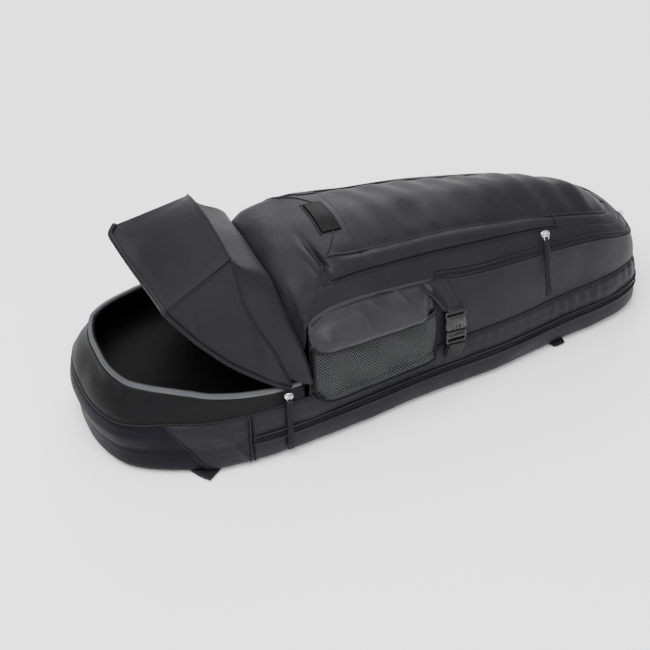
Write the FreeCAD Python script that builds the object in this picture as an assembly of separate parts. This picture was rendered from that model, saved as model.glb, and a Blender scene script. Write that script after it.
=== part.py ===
"""A racket tournament bag, lying on its back with its shoe compartment open.

X runs from the base end (-) to the top end (+), Y across the bag, Z up, out of its front.
The origin is on the floor, under the middle of the bag. All sizes are in millimetres.
"""
import FreeCAD, Part
import math
import os

V = FreeCAD.Vector

# Outline seen from the front: distance from the middle, then half the width there.
HALF_LENGTH = 400.0
HALF_WIDTH = 147.0
PLAN = [(-400, 42), (-386, 80), (-368, 101), (-334, 120), (-293, 139), (-229, 147), (-160, 145),
        (-72, 134), (31, 119), (151, 107), (249, 88), (307, 79), (357, 65), (388, 45), (400, 20)]

# Heights of the layers, from the floor up.
PAD_TOP = 7.0
PANEL_TOP = 16.0
MAIN_ZIP = 40.5
MAIN_FLOOR_TOP = 78.0
RIM = 101.0
RIM_AT_END = 119.0

WALL = 4.0
TAPE = 1.5
GAP = 0.6
ZIP_BAND = 6.0

# Where the panels change along the bag.
BOOT_SEAM = -300.0
ZIP_END = -224.0
FOLD = -150.0
SECOND_HINGE = -52.0
POCKET_END = 236.0
POCKET_DEPTH = 14.0
LENGTH_CUTS = [-60.0, 120.0, 250.0, 340.0, 385.0]

# Insets of the walls from the outline, at the sides and at the top end.
LOWER_LEVELS = [(PAD_TOP, 4, 4), (14, 0, 0), (MAIN_FLOOR_TOP, 8, 8)]
SHOE_LEVELS = [(MAIN_FLOOR_TOP, 8, 8), (130, 12, 12)]
UPPER_LEVELS = [(MAIN_FLOOR_TOP, 8, 8), (84, 17, 14), (180, 17, 26)]

# The flap of the shoe compartment, closed, and how far it is open as it lies.
FLAP_HINGE = V(-168, 0, 102)
FLAP_OPEN = 41.0
FLAP_ZIP_CORNER = (-371, 88, 104)
FLAP_TOP_CORNER = (-330, 88, 200)
FLAP_SIDE = (-186, 133, 104)
FLAP_TOP_END = (-290, 92, 206)
FLAP_WALL = 5.0

# Sections of the front compartment: x, welt, zip line and front seam as (half width, height), crown.
MODULE = [(-52, (116, 178), (93, 212), (69, 228), 245),
          (30, (105, 178), (86, 212), (65, 226), 246),
          (100, (98, 178), (80, 206), (60, 218), 238),
          (185, (90, 174), (72, 196), (55, 206), 226),
          (250, (78, 167), (66, 182), (50, 191), 212),
          (320, (68, 156), (58, 164), (44, 171), 184),
          (372, (50, 133), (43, 137), (33, 140), 146)]
LOWER_FRONT = {FOLD + 4: (124, 104, 64, 202, 226), -86: (120, 97, 68, 212, 236),
               SECOND_HINGE - 1: (116, 93, 69, 213, 244)}
WELT = [(-160, 172), (130, 172), (300, 155), (360, 130), (410, 108)]

# Walls of the lids, and the front's sections past which the pocket's lining stops.
LID_WALL = 5.5
LID_SKIRT = 8.0
LABEL_CENTRE = V(-70, 0, 242.6)
LABEL_TILT = -10.0

# The mesh bottle pocket on the near side, and the fabric over its mouth.
BOTTLE_POCKET = (-138.0, 36.0)
MESH_LOW = 82.0
MESH_TOP = 140.0
EDGE_TAPE = 2.0

# Strap hardware.
STRAP_TOP = 232.0
STRAP_LENGTH = 352.0
WEBBING = 25.0
BUCKLE_X = 66.0
BUCKLE_Y = -111.0
BUCKLE_TOP = 132.0
BUCKLE_TILT = -8.0
BUCKLE_WIDTH = 30.0
BUCKLE_THICK = 9.0
SOCKET_LENGTH = 28.0
PLUG_LENGTH = 17.5
PRONG = 3.0


def plan_wire(z, inset, end_inset=None):
    """The outline at one height, pulled in by an inset."""
    end = inset if end_inset is None else end_inset
    across = 1 - inset / HALF_WIDTH
    near = []
    for x, y in PLAN:
        along = 1 - (inset if x < 0 else end) / HALF_LENGTH
        near.append(V(x * along, -y * across, z))
    far = [V(p.x, -p.y, z) for p in reversed(near)]
    edges = []
    for side in (near, far):
        curve = Part.BSplineCurve()
        curve.interpolate(side)
        edges.append(curve.toShape())
    top = Part.LineSegment(near[-1], far[0]).toShape()
    base = Part.LineSegment(far[-1], near[0]).toShape()
    return Part.Wire([edges[0], top, edges[1], base])


def skin(levels):
    """A closed solid through the outline at several heights."""
    return Part.makeLoft([plan_wire(z, inset, end) for z, inset, end in levels], True, True)


def ring(levels, wall):
    """An upright wall that follows the outline."""
    inner = [(z, inset + wall, end + wall) for z, inset, end in levels]
    bottom, top = inner[0], inner[-1]
    inner = [(bottom[0] - 2, bottom[1], bottom[2])] + inner + [(top[0] + 2, top[1], top[2])]
    return skin(levels).cut(skin(inner))


def lengthwise(shape, cuts):
    """A long curved wall as shorter lengths that meet face to face."""
    parts = []
    for start, end in zip([-410] + cuts, cuts + [410]):
        parts += shape.common(slab(start, end, -200, 200, -10, 300)).Solids
    return Part.makeCompound(parts)


def slab(x0, x1, y0, y1, z0, z1):
    return Part.makeBox(x1 - x0, y1 - y0, z1 - z0, V(x0, y0, z0))


def prism(points, along):
    """A straight prism on a closed outline."""
    wire = Part.makePolygon(points + [points[0]])
    return Part.Face(wire).extrude(along)


def profile_prism(points, half_width=200):
    """A prism across the bag, on an outline of (x, z)."""
    return prism([V(x, -half_width, z) for x, z in points], V(0, 2 * half_width, 0))


def plan_prism(points, z0, z1):
    """An upright prism on an outline of (x, y)."""
    return prism([V(x, y, z0) for x, y in points], V(0, 0, z1 - z0))


def band(line, low, high):
    """Everything between two offsets of a line of (x, z)."""
    points = [(x, z + low) for x, z in line] + [(x, z + high) for x, z in reversed(line)]
    return profile_prism(points)


def section_loft(sections):
    """A solid through closed sections, each an x and points of (y, z)."""
    wires = []
    for x, points in sections:
        corners = [V(x, y, z) for y, z in points]
        wires.append(Part.makePolygon(corners + [corners[0]]))
    return Part.makeLoft(wires, True, True)


def both_sides(shape):
    """A shape and its mirror image across the middle of the bag."""
    return Part.makeCompound([shape, shape.mirror(V(0, 0, 0), V(0, 1, 0))])


def save(name, shape):
    shape.exportStep("parts/" + name + ".step")
    print("%-24s solids %2d  volume %9.0f mm3  valid %s"
          % (name, len(shape.Solids), shape.Volume, shape.isValid()))


def back():
    """Back pads, back panel, and the lower walls that stay down when the bag opens."""
    lumbar = slab(-372, -312, -72, 72, 0, PAD_TOP)
    rail = plan_prism([(-195, 92), (60, 84), (60, 104), (-195, 124)], 0, PAD_TOP)
    head = slab(345, 380, -30, 30, 0, PAD_TOP)
    spine = slab(-290, 205, -9, 9, 0, PAD_TOP)
    pads = [lumbar, rail, rail.mirror(V(), V(0, 1, 0)), head, spine]
    save("back_pads", Part.makeCompound(pads))
    save("back_panel", skin([(PAD_TOP, 9, 9), (PANEL_TOP, 9, 9)]))

    wall = ring(LOWER_LEVELS, WALL)
    base = slab(-410, BOOT_SEAM, -200, 200, 0, 90)
    save("base_boot", wall.common(base))
    sides = slab(BOOT_SEAM, ZIP_END, -200, 200, 0, 90)
    save("boot_side_panels", wall.common(sides))
    folds = slab(ZIP_END, FOLD, -200, 200, MAIN_ZIP - ZIP_BAND, 90)
    save("fold_side_panels", wall.common(folds))
    gusset = slab(ZIP_END, 410, -200, 200, 0, MAIN_ZIP - ZIP_BAND)
    save("lower_gusset", lengthwise(wall.common(gusset), LENGTH_CUTS))
    tape = slab(FOLD, 410, -200, 200, MAIN_ZIP - ZIP_BAND, MAIN_ZIP - GAP / 2)
    save("main_zip_lower_tape", wall.common(tape))


def shoe_compartment():
    """The tray that holds the shoes, its rim and the wall that shuts it off."""
    floor = skin([(MAIN_FLOOR_TOP - 4, 12, 12), (MAIN_FLOOR_TOP, 12, 12)])
    save("shoe_floor", floor.common(slab(-410, FOLD, -200, 200, 0, 90)))
    rim = [(-410, RIM_AT_END), (-385, RIM_AT_END - 2), (-345, RIM + 4), (-310, RIM), (FOLD, RIM)]
    below = band(rim, -60, 0)
    open_end = slab(-410, FOLD - WALL, -200, 200, 0, 150)
    wall = ring(SHOE_LEVELS, WALL).common(below).common(open_end)
    save("shoe_wall", wall)
    lined = [(z, inset + WALL, end + WALL) for z, inset, end in SHOE_LEVELS]
    tape = ring(lined, TAPE).common(band(rim, -15, 0)).common(open_end)
    save("rim_zip_tape", tape)
    half = [(-134, MAIN_FLOOR_TOP), (-134, 104), (-126, 142), (-100, 172), (-60, 192), (0, 196)]
    points = half + [(-y, z) for y, z in reversed(half[:-1])]
    corners = [V(FOLD - WALL, y, z) for y, z in points]
    save("shoe_end_wall", prism(corners, V(WALL, 0, 0)))


def shoulder_straps():
    """Two padded straps flat against the back, their adjusters and their webbing."""
    anchor = plan_prism([(STRAP_TOP + GAP, 18), (262, 16), (262, 62), (STRAP_TOP + GAP, 74)], 1, 6.5)
    save("strap_top_anchors", both_sides(anchor))
    bottom = STRAP_TOP - STRAP_LENGTH
    outer = [V(STRAP_TOP, 72, 0), V(120, 76, 0), V(0, 80, 0), V(bottom, 64, 0)]
    inner = [V(bottom, 32, 0), V(0, 24, 0), V(120, 18, 0), V(STRAP_TOP, 20, 0)]
    edges = []
    for side in (outer, inner):
        curve = Part.BSplineCurve()
        curve.interpolate(side)
        edges.append(curve.toShape())
    lines = [Part.LineSegment(outer[-1], inner[0]).toShape(),
             Part.LineSegment(inner[-1], outer[0]).toShape()]
    outline = Part.Wire([edges[0], lines[0], edges[1], lines[1]])
    pad = Part.Face(outline).extrude(V(0, 0, PAD_TOP - GAP))
    lock_end = bottom - 30
    lock = slab(lock_end, bottom, 32, 64, 0.5, 5.5)
    lock = lock.cut(slab(lock_end + 5, lock_end + 12, 35, 61, -1, 8))
    lock = lock.cut(slab(lock_end + 17, lock_end + 24, 35, 61, -1, 8))
    run = [(lock_end - 0.5, 35.5), (lock_end - 0.5, 60.5), (-276, 128), (-292, 108)]
    webbing = plan_prism(run, 2, 4)
    tab = [(-262, 131), (-277, 129), (-293, 109), (-308, 122), (-300, 147), (-268, 149)]
    save("strap_lower_tabs", both_sides(plan_prism(tab, 1.5, 5.5)))
    for side, flip in (("left", False), ("right", True)):
        for name, shape in (("strap_pad", pad), ("strap_adjuster", lock), ("strap_webbing", webbing)):
            shown = shape.mirror(V(), V(0, 1, 0)) if flip else shape
            save(side + "_" + name, shown)


def haul_loop():
    """A flat loop of webbing to carry the bag by, folded against the back."""
    outside = plan_prism([(272, -45), (322, -45), (332, -35), (332, 35), (322, 45), (272, 45)], 1, 4)
    inside = plan_prism([(260, -25), (308, -25), (312, -21), (312, 21), (308, 25), (260, 25)], 0, 5)
    save("haul_loop", outside.cut(inside))


def lower_front_section(x, inward):
    """Half widths of welt, shoulder and crown, and the heights of the last two."""
    welt, shoulder, crown, shoulder_z, crown_z = LOWER_FRONT[x]
    half = [(welt - inward, 166 - inward / 2), (welt - inward, 178 - inward),
            (shoulder - inward, shoulder_z - inward), (crown - inward, crown_z - inward)]
    return [(-y, z) for y, z in half] + [(y, z) for y, z in reversed(half)]


def lid():
    """The upper half of the main compartment, which opens away from the back."""
    lower = ring(LOWER_LEVELS, WALL)
    tape = slab(FOLD + 4, 410, -200, 200, MAIN_ZIP + GAP / 2, MAIN_ZIP + ZIP_BAND)
    save("main_zip_upper_tape", lower.common(tape))
    side_band = slab(FOLD + 4, 410, -200, 200, MAIN_ZIP + ZIP_BAND, 90)
    save("lid_band", lower.common(side_band))
    divider = skin([(MAIN_FLOOR_TOP - 4, 12, 12), (MAIN_FLOOR_TOP, 12, 12)])
    save("divider", divider.common(slab(FOLD + 4, 410, -200, 200, 0, 90)))
    upper = ring(UPPER_LEVELS, WALL)
    front = slab(FOLD + 4, 410, -200, 200, 0, 200)
    below_zip = band(WELT, -140, -ZIP_BAND)
    save("lid_wall", lengthwise(upper.common(front).common(below_zip), LENGTH_CUTS))
    zip_zone = slab(SECOND_HINGE, 410, -200, 200, 0, 200)
    save("second_zip_lower_tape", upper.common(zip_zone).common(band(WELT, -ZIP_BAND, -GAP / 2)))
    outer = section_loft([(x, lower_front_section(x, 0)) for x in LOWER_FRONT])
    first, last = min(LOWER_FRONT), max(LOWER_FRONT)
    inner = section_loft([(min(max(x, first + WALL), last - WALL), lower_front_section(x, WALL))
                          for x in LOWER_FRONT])
    save("lower_front", outer.cut(inner))
    end = [(-115, MAIN_FLOOR_TOP), (-115, 166), (115, 166), (115, MAIN_FLOOR_TOP)]
    corners = [V(FOLD + 5, y, z) for y, z in end]
    save("valley_wall", prism(corners, V(WALL, 0, 0)))


def side_pocket():
    """The mesh bottle pocket on the near side, with the fabric that hangs over its mouth."""
    low, high = BOTTLE_POCKET
    face = ring([(MAIN_FLOOR_TOP, 3, 3), (200, 3, 3)], TAPE)
    save("side_pocket_mesh", face.common(slab(low, high, -200, 0, MESH_LOW, MESH_TOP)))
    hem = ring([(MAIN_FLOOR_TOP, 2.5, 2.5), (200, 2.5, 2.5)], 2.5)
    save("side_pocket_hem", hem.common(slab(low, high, -200, 0, MESH_TOP, MESH_TOP + 6)))
    strip = ring([(MAIN_FLOOR_TOP, 3, 3), (200, 3, 3)], 12)
    above = MESH_LOW + 2.5
    ends = [strip.common(slab(x, x + EDGE_TAPE, -200, 0, above, MESH_TOP)) for x in (low - EDGE_TAPE, high)]
    sill = ring([(MAIN_FLOOR_TOP, 3, 3), (200, 3, 3)], 4.5)
    sill = sill.common(slab(low - EDGE_TAPE, high + EDGE_TAPE, -200, 0, MESH_LOW - 3, MESH_LOW))
    save("side_pocket_edges", Part.makeCompound(ends + [sill]))
    cover = ring([(MAIN_FLOOR_TOP, 3, 3), (200, 13, 13)], 3)
    save("side_pocket_cover", cover.common(slab(low - 4, 20, -200, 0, MESH_TOP + 12, MESH_TOP + 31)))


def buckle_part(width, thick, top, length):
    """A block on the buckle's own axis, a distance below the buckle's top."""
    corner = V(BUCKLE_X - width / 2, BUCKLE_Y - thick / 2, BUCKLE_TOP - top - length)
    return Part.makeBox(width, thick, length, corner)


def compression_strap():
    """Fabric yoke, side-release buckle and webbing across the near side."""
    base = ring(UPPER_LEVELS, WALL)
    layer = ring([(z, inset - 2.5, end - 2.5) for z, inset, end in UPPER_LEVELS[1:]], 2.0)
    shape = [(24, 165), (BUCKLE_X - 10, 165), (BUCKLE_X + 14, 134), (BUCKLE_X - 16, 134)]
    yoke = layer.common(profile_prism(shape)).common(slab(0, 120, -200, 0, 80, 200))
    save("strap_yoke", yoke.cut(base))

    socket = buckle_part(BUCKLE_WIDTH, BUCKLE_THICK, 0, SOCKET_LENGTH)
    socket = socket.cut(buckle_part(BUCKLE_WIDTH - 6, BUCKLE_THICK - 4, 7, SOCKET_LENGTH))
    body = buckle_part(BUCKLE_WIDTH, BUCKLE_THICK, SOCKET_LENGTH + GAP, PLUG_LENGTH)
    body = body.cut(buckle_part(WEBBING, 2 * BUCKLE_THICK, SOCKET_LENGTH + 9, 5))
    prongs = []
    for offset in (-9.5, 0, 9.5):
        prong = buckle_part(PRONG, BUCKLE_THICK - 5.4, 11, SOCKET_LENGTH - 10)
        prong.translate(V(offset, 0, 0))
        prongs.append(prong)
    plug = body.multiFuse(prongs).removeSplitter()
    for name, shape in (("buckle_socket", socket), ("buckle_plug", plug)):
        shape.rotate(V(BUCKLE_X, BUCKLE_Y, BUCKLE_TOP), V(1, 0, 0), BUCKLE_TILT)
        save(name, shape)
    run = [(-113.4, 60), (-115.4, 60), (-118.4, 85.4), (-116.4, 85.4)]
    left = BUCKLE_X - WEBBING / 2
    save("compression_webbing", prism([V(left, y, z) for y, z in run], V(WEBBING, 0, 0)))


def module_section(row):
    """One section of the second lid, shut by a slanting top from near zip line to far seam."""
    welt, zip_line, seam = row[1:4]
    half = [(-welt[0], welt[1]), (-zip_line[0], zip_line[1])]
    return half + [seam, zip_line, welt]


def module_hollow(row):
    """The same section, smaller by the wall and open below."""
    welt, zip_line, seam = row[1:4]
    side = welt[0] - LID_WALL
    low = welt[1] - LID_SKIRT
    near = [(-side, low), (-side, welt[1]), (LID_WALL + 1.5 - zip_line[0], zip_line[1] + 3)]
    far = [(seam[0] - LID_WALL, seam[1] + 3), (zip_line[0] - LID_WALL, zip_line[1])]
    return near + far + [(side, welt[1]), (side, low)]


def crown_section(row):
    """One section of the padded front, from its zip line up over the crown."""
    zip_line, seam, crown = row[2:5]
    shoulder = seam[1] + (crown - seam[1]) * 0.75
    return [(-zip_line[0], zip_line[1] + GAP), (-seam[0], seam[1]), (-seam[0] * 0.55, shoulder),
            (0, crown), (seam[0] * 0.55, shoulder), (seam[0], seam[1] + GAP)]


def front_compartment():
    """The second compartment's lid with the flat pocket on top of it."""
    first, last = MODULE[0], MODULE[-1]
    starts = [first[0] + LID_WALL] + [row[0] for row in MODULE[1:-1]] + [last[0] - LID_WALL - 1.5]
    outer = section_loft([(row[0], module_section(row)) for row in MODULE])
    inner = section_loft([(x, module_hollow(row)) for x, row in zip(starts, MODULE)])
    rounded = skin([(100, 17, 18), (260, 17, 26)])
    beyond_hinge = slab(SECOND_HINGE, 410, -200, 200, 0, 300)
    over_zip = band(WELT, ZIP_BAND, 140)
    save("second_lid_sides", outer.cut(inner).common(rounded).common(over_zip))
    tape = ring(UPPER_LEVELS, WALL).common(beyond_hinge).common(band(WELT, GAP / 2, ZIP_BAND))
    save("second_zip_upper_tape", tape)

    sheet = []
    for x, row in zip(starts[:-1], MODULE[:-1]):
        half = row[2][0] - 8
        top = row[2][1] - POCKET_DEPTH
        sheet.append((x, [(-half, top - 2), (-half, top), (half, top), (half, top - 2)]))
    save("pocket_lining", section_loft(sheet))

    cap = section_loft([(row[0], crown_section(row)) for row in MODULE]).common(rounded)
    seam_end = MODULE[4]
    axis = V(seam_end[0] - first[0], seam_end[3][0] - first[3][0], seam_end[3][1] - first[3][1])
    axis.normalize()
    split = Part.makeBox(700, 600, 600, V(0, -300, -300))
    split.Placement = FreeCAD.Placement(V(POCKET_END, 0, 190), FreeCAD.Rotation(V(1, 0, 0), axis))
    past = split.copy()
    past.translate(V(2 * GAP, 0, 0))
    save("front_panel", cap.cut(split))
    save("top_panel", cap.common(past))
    print("pocket hinge through", first[0], first[3], "along", axis)


def patch():
    """A blank sewn label across the lower front."""
    label = slab(-12.5, 12.5, -32, 32, 0, 1.5)
    label.Placement = FreeCAD.Placement(LABEL_CENTRE, FreeCAD.Rotation(V(0, 1, 0), LABEL_TILT))
    save("blank_patch", label)


def flap():
    """The shoe compartment's flap, made closed and then turned to where it lies open."""
    zx, zy, zz = FLAP_ZIP_CORNER
    tx, ty, tz = FLAP_TOP_CORNER
    sx, sy, sz = FLAP_SIDE
    ex, ey, ez = FLAP_TOP_END
    step = V(tx - zx, 0, tz - zz)
    inward = V(step.z, 0, -step.x)
    inward.normalize()
    panel = prism([V(zx, -zy, zz), V(tx, -ty, tz), V(tx, ty, tz), V(zx, zy, zz)], inward * FLAP_WALL)
    side = [V(zx, zy, zz), V(tx, ty, tz), V(sx, sy, sz)]
    normal = (side[1] - side[0]).cross(side[2] - side[0])
    normal.normalize()
    if normal.y > 0:
        normal = normal * -1
    gusset = prism(side, normal * FLAP_WALL)
    rise = math.atan2(ez - tz, ex - tx)
    down = V(math.sin(rise), 0, -math.cos(rise)) * FLAP_WALL
    top = prism([V(tx, -ty, tz), V(tx, ty, tz), V(ex, ey, ez), V(ex, -ey, ez)], down)
    top = top.cut(panel)
    gussets = both_sides(gusset.cut(panel).cut(top))
    tape = prism([V(zx, -zy, zz), V(zx, zy, zz), V(zx + 4, zy, zz - 3), V(zx + 4, -zy, zz - 3)], inward * 8)
    turn = FreeCAD.Placement(V(), FreeCAD.Rotation(V(0, 1, 0), FLAP_OPEN), FLAP_HINGE)
    for name, shape in (("flap_end_panel", panel), ("flap_gussets", gussets), ("flap_top", top),
                        ("flap_zip_tape", tape.cut(panel))):
        shape.Placement = turn.multiply(shape.Placement)
        save(name, shape)
    fold = profile_prism([(-193, 256), (-160, 199), (-156, 201), (-189, 258)], 70)
    save("flap_fold", fold)


def sliders():
    """Sliders and puller tapes of the four zips, hung as they hang on the bag."""
    rows = (("shoe", V(-178, -145.5, 97), V(0, -4, -84), "y"),
            ("pocket", V(210, -83, 189), V(0, -22, -83), "y"),
            ("second", V(391, 14, 110), V(11, 0, -56), "x"),
            ("main", V(403.5, 14, 40), V(0, 0, -33), "x"))
    for name, top, fall, facing in rows:
        length = fall.Length
        down = V(fall)
        down.normalize()
        width = V(1, 0, 0) if facing == "y" else V(0, 1, 0)
        out = width.cross(down)
        corner = top - width * 4.5 - out * 1.0 + down * 1.0
        points = [corner, corner + width * 9, corner + width * 9 + out * 2, corner + out * 2]
        save(name + "_puller", prism(points, down * (length - 1)))
        reach = V(0, 7, 0) if facing == "y" else V(-7, 0, 0)
        start = top - width * 6 + V(0, 0, 2.5)
        across = V(0, 0, 4)
        plate = prism([start, start + width * 12, start + width * 12 + across, start + across], reach)
        save(name + "_slider", plate)


def main():
    os.makedirs("parts", exist_ok=True)
    back()
    shoe_compartment()
    shoulder_straps()
    haul_loop()
    lid()
    side_pocket()
    compression_strap()
    front_compartment()
    patch()
    flap()
    sliders()


main()
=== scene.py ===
"""The looks of a racket tournament bag that lies on its back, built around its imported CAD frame.

Lengths below are in millimetres, in the CAD's own axes: X along the bag towards its narrow top
end, Y across it, Z up. They become metres where a mesh is made.
"""
import math

import bpy
import numpy as np
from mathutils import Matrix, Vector


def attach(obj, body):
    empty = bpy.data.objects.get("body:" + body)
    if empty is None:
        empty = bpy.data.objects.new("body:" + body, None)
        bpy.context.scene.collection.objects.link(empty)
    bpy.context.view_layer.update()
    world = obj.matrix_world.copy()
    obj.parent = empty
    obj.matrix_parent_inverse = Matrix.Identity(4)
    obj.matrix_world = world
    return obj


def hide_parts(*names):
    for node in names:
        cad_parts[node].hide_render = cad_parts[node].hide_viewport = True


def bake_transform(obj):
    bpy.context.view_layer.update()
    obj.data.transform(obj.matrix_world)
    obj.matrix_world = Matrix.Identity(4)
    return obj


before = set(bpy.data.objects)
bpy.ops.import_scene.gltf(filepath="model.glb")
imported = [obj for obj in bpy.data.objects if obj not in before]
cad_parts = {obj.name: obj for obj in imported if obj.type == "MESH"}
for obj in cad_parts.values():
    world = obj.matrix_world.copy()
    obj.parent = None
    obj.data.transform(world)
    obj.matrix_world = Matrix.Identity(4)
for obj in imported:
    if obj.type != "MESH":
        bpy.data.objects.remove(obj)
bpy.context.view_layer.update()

MM = 0.001

# ---------------------------------------------------------------- driving dimensions
# The plan outline, half of it: along the bag, then half the width.
PLAN = [(-400, 0), (-399, 30), (-393, 58), (-380, 86), (-358, 106), (-334, 120), (-307, 132),
        (-279, 142), (-229, 147), (-160, 145), (-72, 134), (31, 119), (151, 107), (249, 88),
        (307, 79), (352, 67), (383, 49), (396, 26), (400, 0)]
# How far the wall stands in from the outline at each height.
WALL_Z = (0, 2, 6, 12, 22, 34, 38, 43, 47, 60, 73, 78, 100, 130)
WALL_IN = (18, 9, 3.5, 0.8, 0, 1.2, 2.8, 2.8, 1.8, 2, 5, 8.5, 15, 26)

END_FLARE = 11.0        # how far the base end's wall leans out
ZIP_LOW = 36.5
ZIP_HIGH = 44.5
BAND_TOP = 78.0
SEAM_X = -227.0
BOOT_TOP_X = -334.0
BOOT_FOOT_X = -279.0
RIM_Z = 102.0           # the shoe compartment's rim, at the hinge and at the base end
RIM_END_Z = 126.0
SHOE_WALL_X = -153.0    # the wall that shuts the shoe compartment off
VALLEY_WALL_X = -142.0  # the front's own wall beside it
TOP_TURN_X = 330.0      # where the upper walls begin to turn round the top end
POCKET_END_X = 236.0
PANEL_LOW_W = 1.03      # the pocket panel's long edges, as lines across the front
PANEL_HIGH_W = 3.99
POCKET_ZIP_W = 1.04

# The front, by station along it: x then half width and height of the welt, the pocket-zip line
# and the front seam, then x and height of the crown.
FRONT = [(-172, (-150, 126, 146), (-158, 110, 172), (-171, 80, 200), (-178, 212)),
         (-160, (-147, 125, 158), (-151, 106, 190), (-158, 74, 219), (-164, 229)),
         (-145, (-141, 120, 182), (-142, 103, 203), (-144, 71, 228), (-147, 239)),
         (-115, (-115, 114, 193), (-115, 97, 213), (-115, 70, 232), (-115, 243)),
         (-85, (-85, 111, 196), (-85, 94, 215), (-85, 70, 235), (-85, 246)),
         (-52, (-52, 109, 196), (-52, 91, 216), (-52, 69, 232), (-52, 247)),
         (30, (30, 101, 187), (30, 85, 212), (30, 65, 227), (30, 246)),
         (100, (100, 97, 176), (100, 80, 206), (100, 60, 218), (100, 239)),
         (185, (185, 89, 170), (185, 72, 196), (185, 55, 206), (185, 228)),
         (250, (250, 79, 163), (250, 64, 182), (250, 50, 193), (250, 213)),
         (300, (300, 73, 156), (300, 57, 167), (300, 42, 176), (300, 194)),
         (335, (338, 64, 143), (333, 50, 154), (327, 33, 163), (324, 172)),
         (365, (366, 44, 130), (355, 33, 145), (342, 20, 154), (337, 158)),
         (400, (382, 0, 119), (364, 0, 141), (349, 0, 150), (344, 152))]

# The shoe flap as it lies open: its zip edge, the seam round its raised end, and the valley where
# its band meets the front. Each runs from the hinge on the far side round to the near side.
FAR_ZIP = [(-174, 139, 102), (-209, 127, 123), (-243, 115, 148), (-280, 102, 186),
           (-308, 91, 222), (-317, 87, 242)]
END_ZIP = [(-317, 86, 244), (-325, 77, 239), (-324, 58, 235), (-317, 20, 223),
           (-312, -30, 220), (-312, -84, 227)]
NEAR_ZIP = [(-312, -86, 226), (-294, -95, 202), (-275, -103, 179), (-243, -115, 147),
            (-209, -127, 123), (-174, -138, 102)]
FAR_SEAM = [(-169, 136, 104), (-172, 133, 122), (-188, 124, 153), (-205, 112, 188), (-218, 90, 258)]
END_SEAM = [(-218, 88, 262), (-222, 60, 275), (-225, 20, 286), (-225, -30, 287), (-226, -86, 282)]
NEAR_SEAM = [(-225, -88, 280), (-222, -94, 256), (-216, -102, 221), (-203, -114, 185),
             (-187, -124, 153), (-170, -136, 104)]
VALLEY = [(-142, 136, 104), (-145, 131, 128), (-151, 120, 154), (-158, 106, 180), (-169, 84, 202),
          (-176, 50, 209), (-178, 16, 211), (-178, -16, 211), (-176, -50, 209), (-170, -80, 202),
          (-163, -98, 186), (-157, -110, 168), (-150, -122, 148), (-145, -131, 126),
          (-142, -136, 104)]
FLAP_MIDDLE = (-235.0, 0.0, 170.0)
FLAP_BAND_MIDDLE = (-200.0, 0.0, 120.0)
MIDDLE = (0.0, 0.0, 80.0)

# ---------------------------------------------------------------- curves and grids
def lerp(a, b, t):
    return a + (b - a) * t


def smooth(low, high, value):
    """0 below low, 1 above high, with an S-shaped ramp between."""
    t = np.clip((np.asarray(value, float) - low) / (high - low), 0, 1)
    return t * t * (3 - 2 * t)


def bump(value, centre, width):
    return np.exp(-((np.asarray(value, float) - centre) / width) ** 2)


def curve_through(points, per_span=24, closed=False):
    """A dense Catmull-Rom curve through the points."""
    p = np.array(points, float)
    n = len(p)
    if closed:
        p = np.vstack([p[-1], p, p[0], p[1]])
        spans = n
    else:
        p = np.vstack([2 * p[0] - p[1], p, 2 * p[-1] - p[-2]])
        spans = n - 1
    t = np.linspace(0, 1, per_span, endpoint=False)[:, None]
    pieces = []
    for i in range(spans):
        a, b, c, d = p[i], p[i + 1], p[i + 2], p[i + 3]
        pieces.append(0.5 * (2 * b + (c - a) * t + (2 * a - 5 * b + 4 * c - d) * t ** 2
                             + (3 * b - a - 3 * c + d) * t ** 3))
    if not closed:
        pieces.append(p[-2][None])
    return np.vstack(pieces)


def curve_smooth(values, passes=6):
    """Values with their corners worn round; the two ends stay."""
    for _ in range(passes):
        values = np.concatenate([values[:1], (values[:-2] + 2 * values[1:-1] + values[2:]) / 4,
                                 values[-1:]])
    return values


def lengths(path):
    steps = np.linalg.norm(np.diff(path, axis=0), axis=1)
    return np.concatenate([[0], np.cumsum(steps)])


def evenly(path, count):
    """The path again with evenly spaced points."""
    run = lengths(path)
    want = np.linspace(0, run[-1], count)
    return np.column_stack([np.interp(want, run, path[:, k]) for k in range(path.shape[1])])


def value_noise(points, size, seed=0):
    """Smooth noise from -1 to 1; size may be one length or one for each axis."""
    q = np.asarray(points, float) / np.asarray(size, float)
    cell = np.floor(q).astype(np.int64)
    f = q - cell
    f = f * f * f * (f * (f * 6 - 15) + 10)
    total = np.zeros(q.shape[:-1])
    for dx in (0, 1):
        for dy in (0, 1):
            for dz in (0, 1):
                c = cell + np.array([dx, dy, dz])
                h = (c[..., 0] * 73856093) ^ (c[..., 1] * 19349663) ^ (c[..., 2] * 83492791)
                h = (h ^ (seed * 2654435)) & 0x7FFFFFFF
                h = (h * 1103515245 + 12345) & 0x7FFFFFFF
                h = (h ^ (h >> 13)) * 60493 & 0x7FFFFFFF
                value = h / 0x3FFFFFFF - 1.0
                weight = (np.where(dx, f[..., 0], 1 - f[..., 0])
                          * np.where(dy, f[..., 1], 1 - f[..., 1])
                          * np.where(dz, f[..., 2], 1 - f[..., 2]))
                total += value * weight
    return total


def folds(points, size, seed=0):
    """Rounded creases: ridges where the noise crosses zero."""
    n = value_noise(points, size, seed)
    return 1 - np.minimum(np.abs(n) * 2.2, 1) ** 0.8


def grid_normals(grid):
    normal = np.cross(np.gradient(grid, axis=0), np.gradient(grid, axis=1))
    return normal / np.maximum(np.linalg.norm(normal, axis=2, keepdims=True), 1e-9)


def outward(grid, centre=MIDDLE):
    """Unit normals of a grid, on the side away from a point, and whether they were turned."""
    normal = grid_normals(grid)
    turned = np.sum(normal * (grid - np.array(centre))) < 0
    return (-normal if turned else normal), turned


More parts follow.
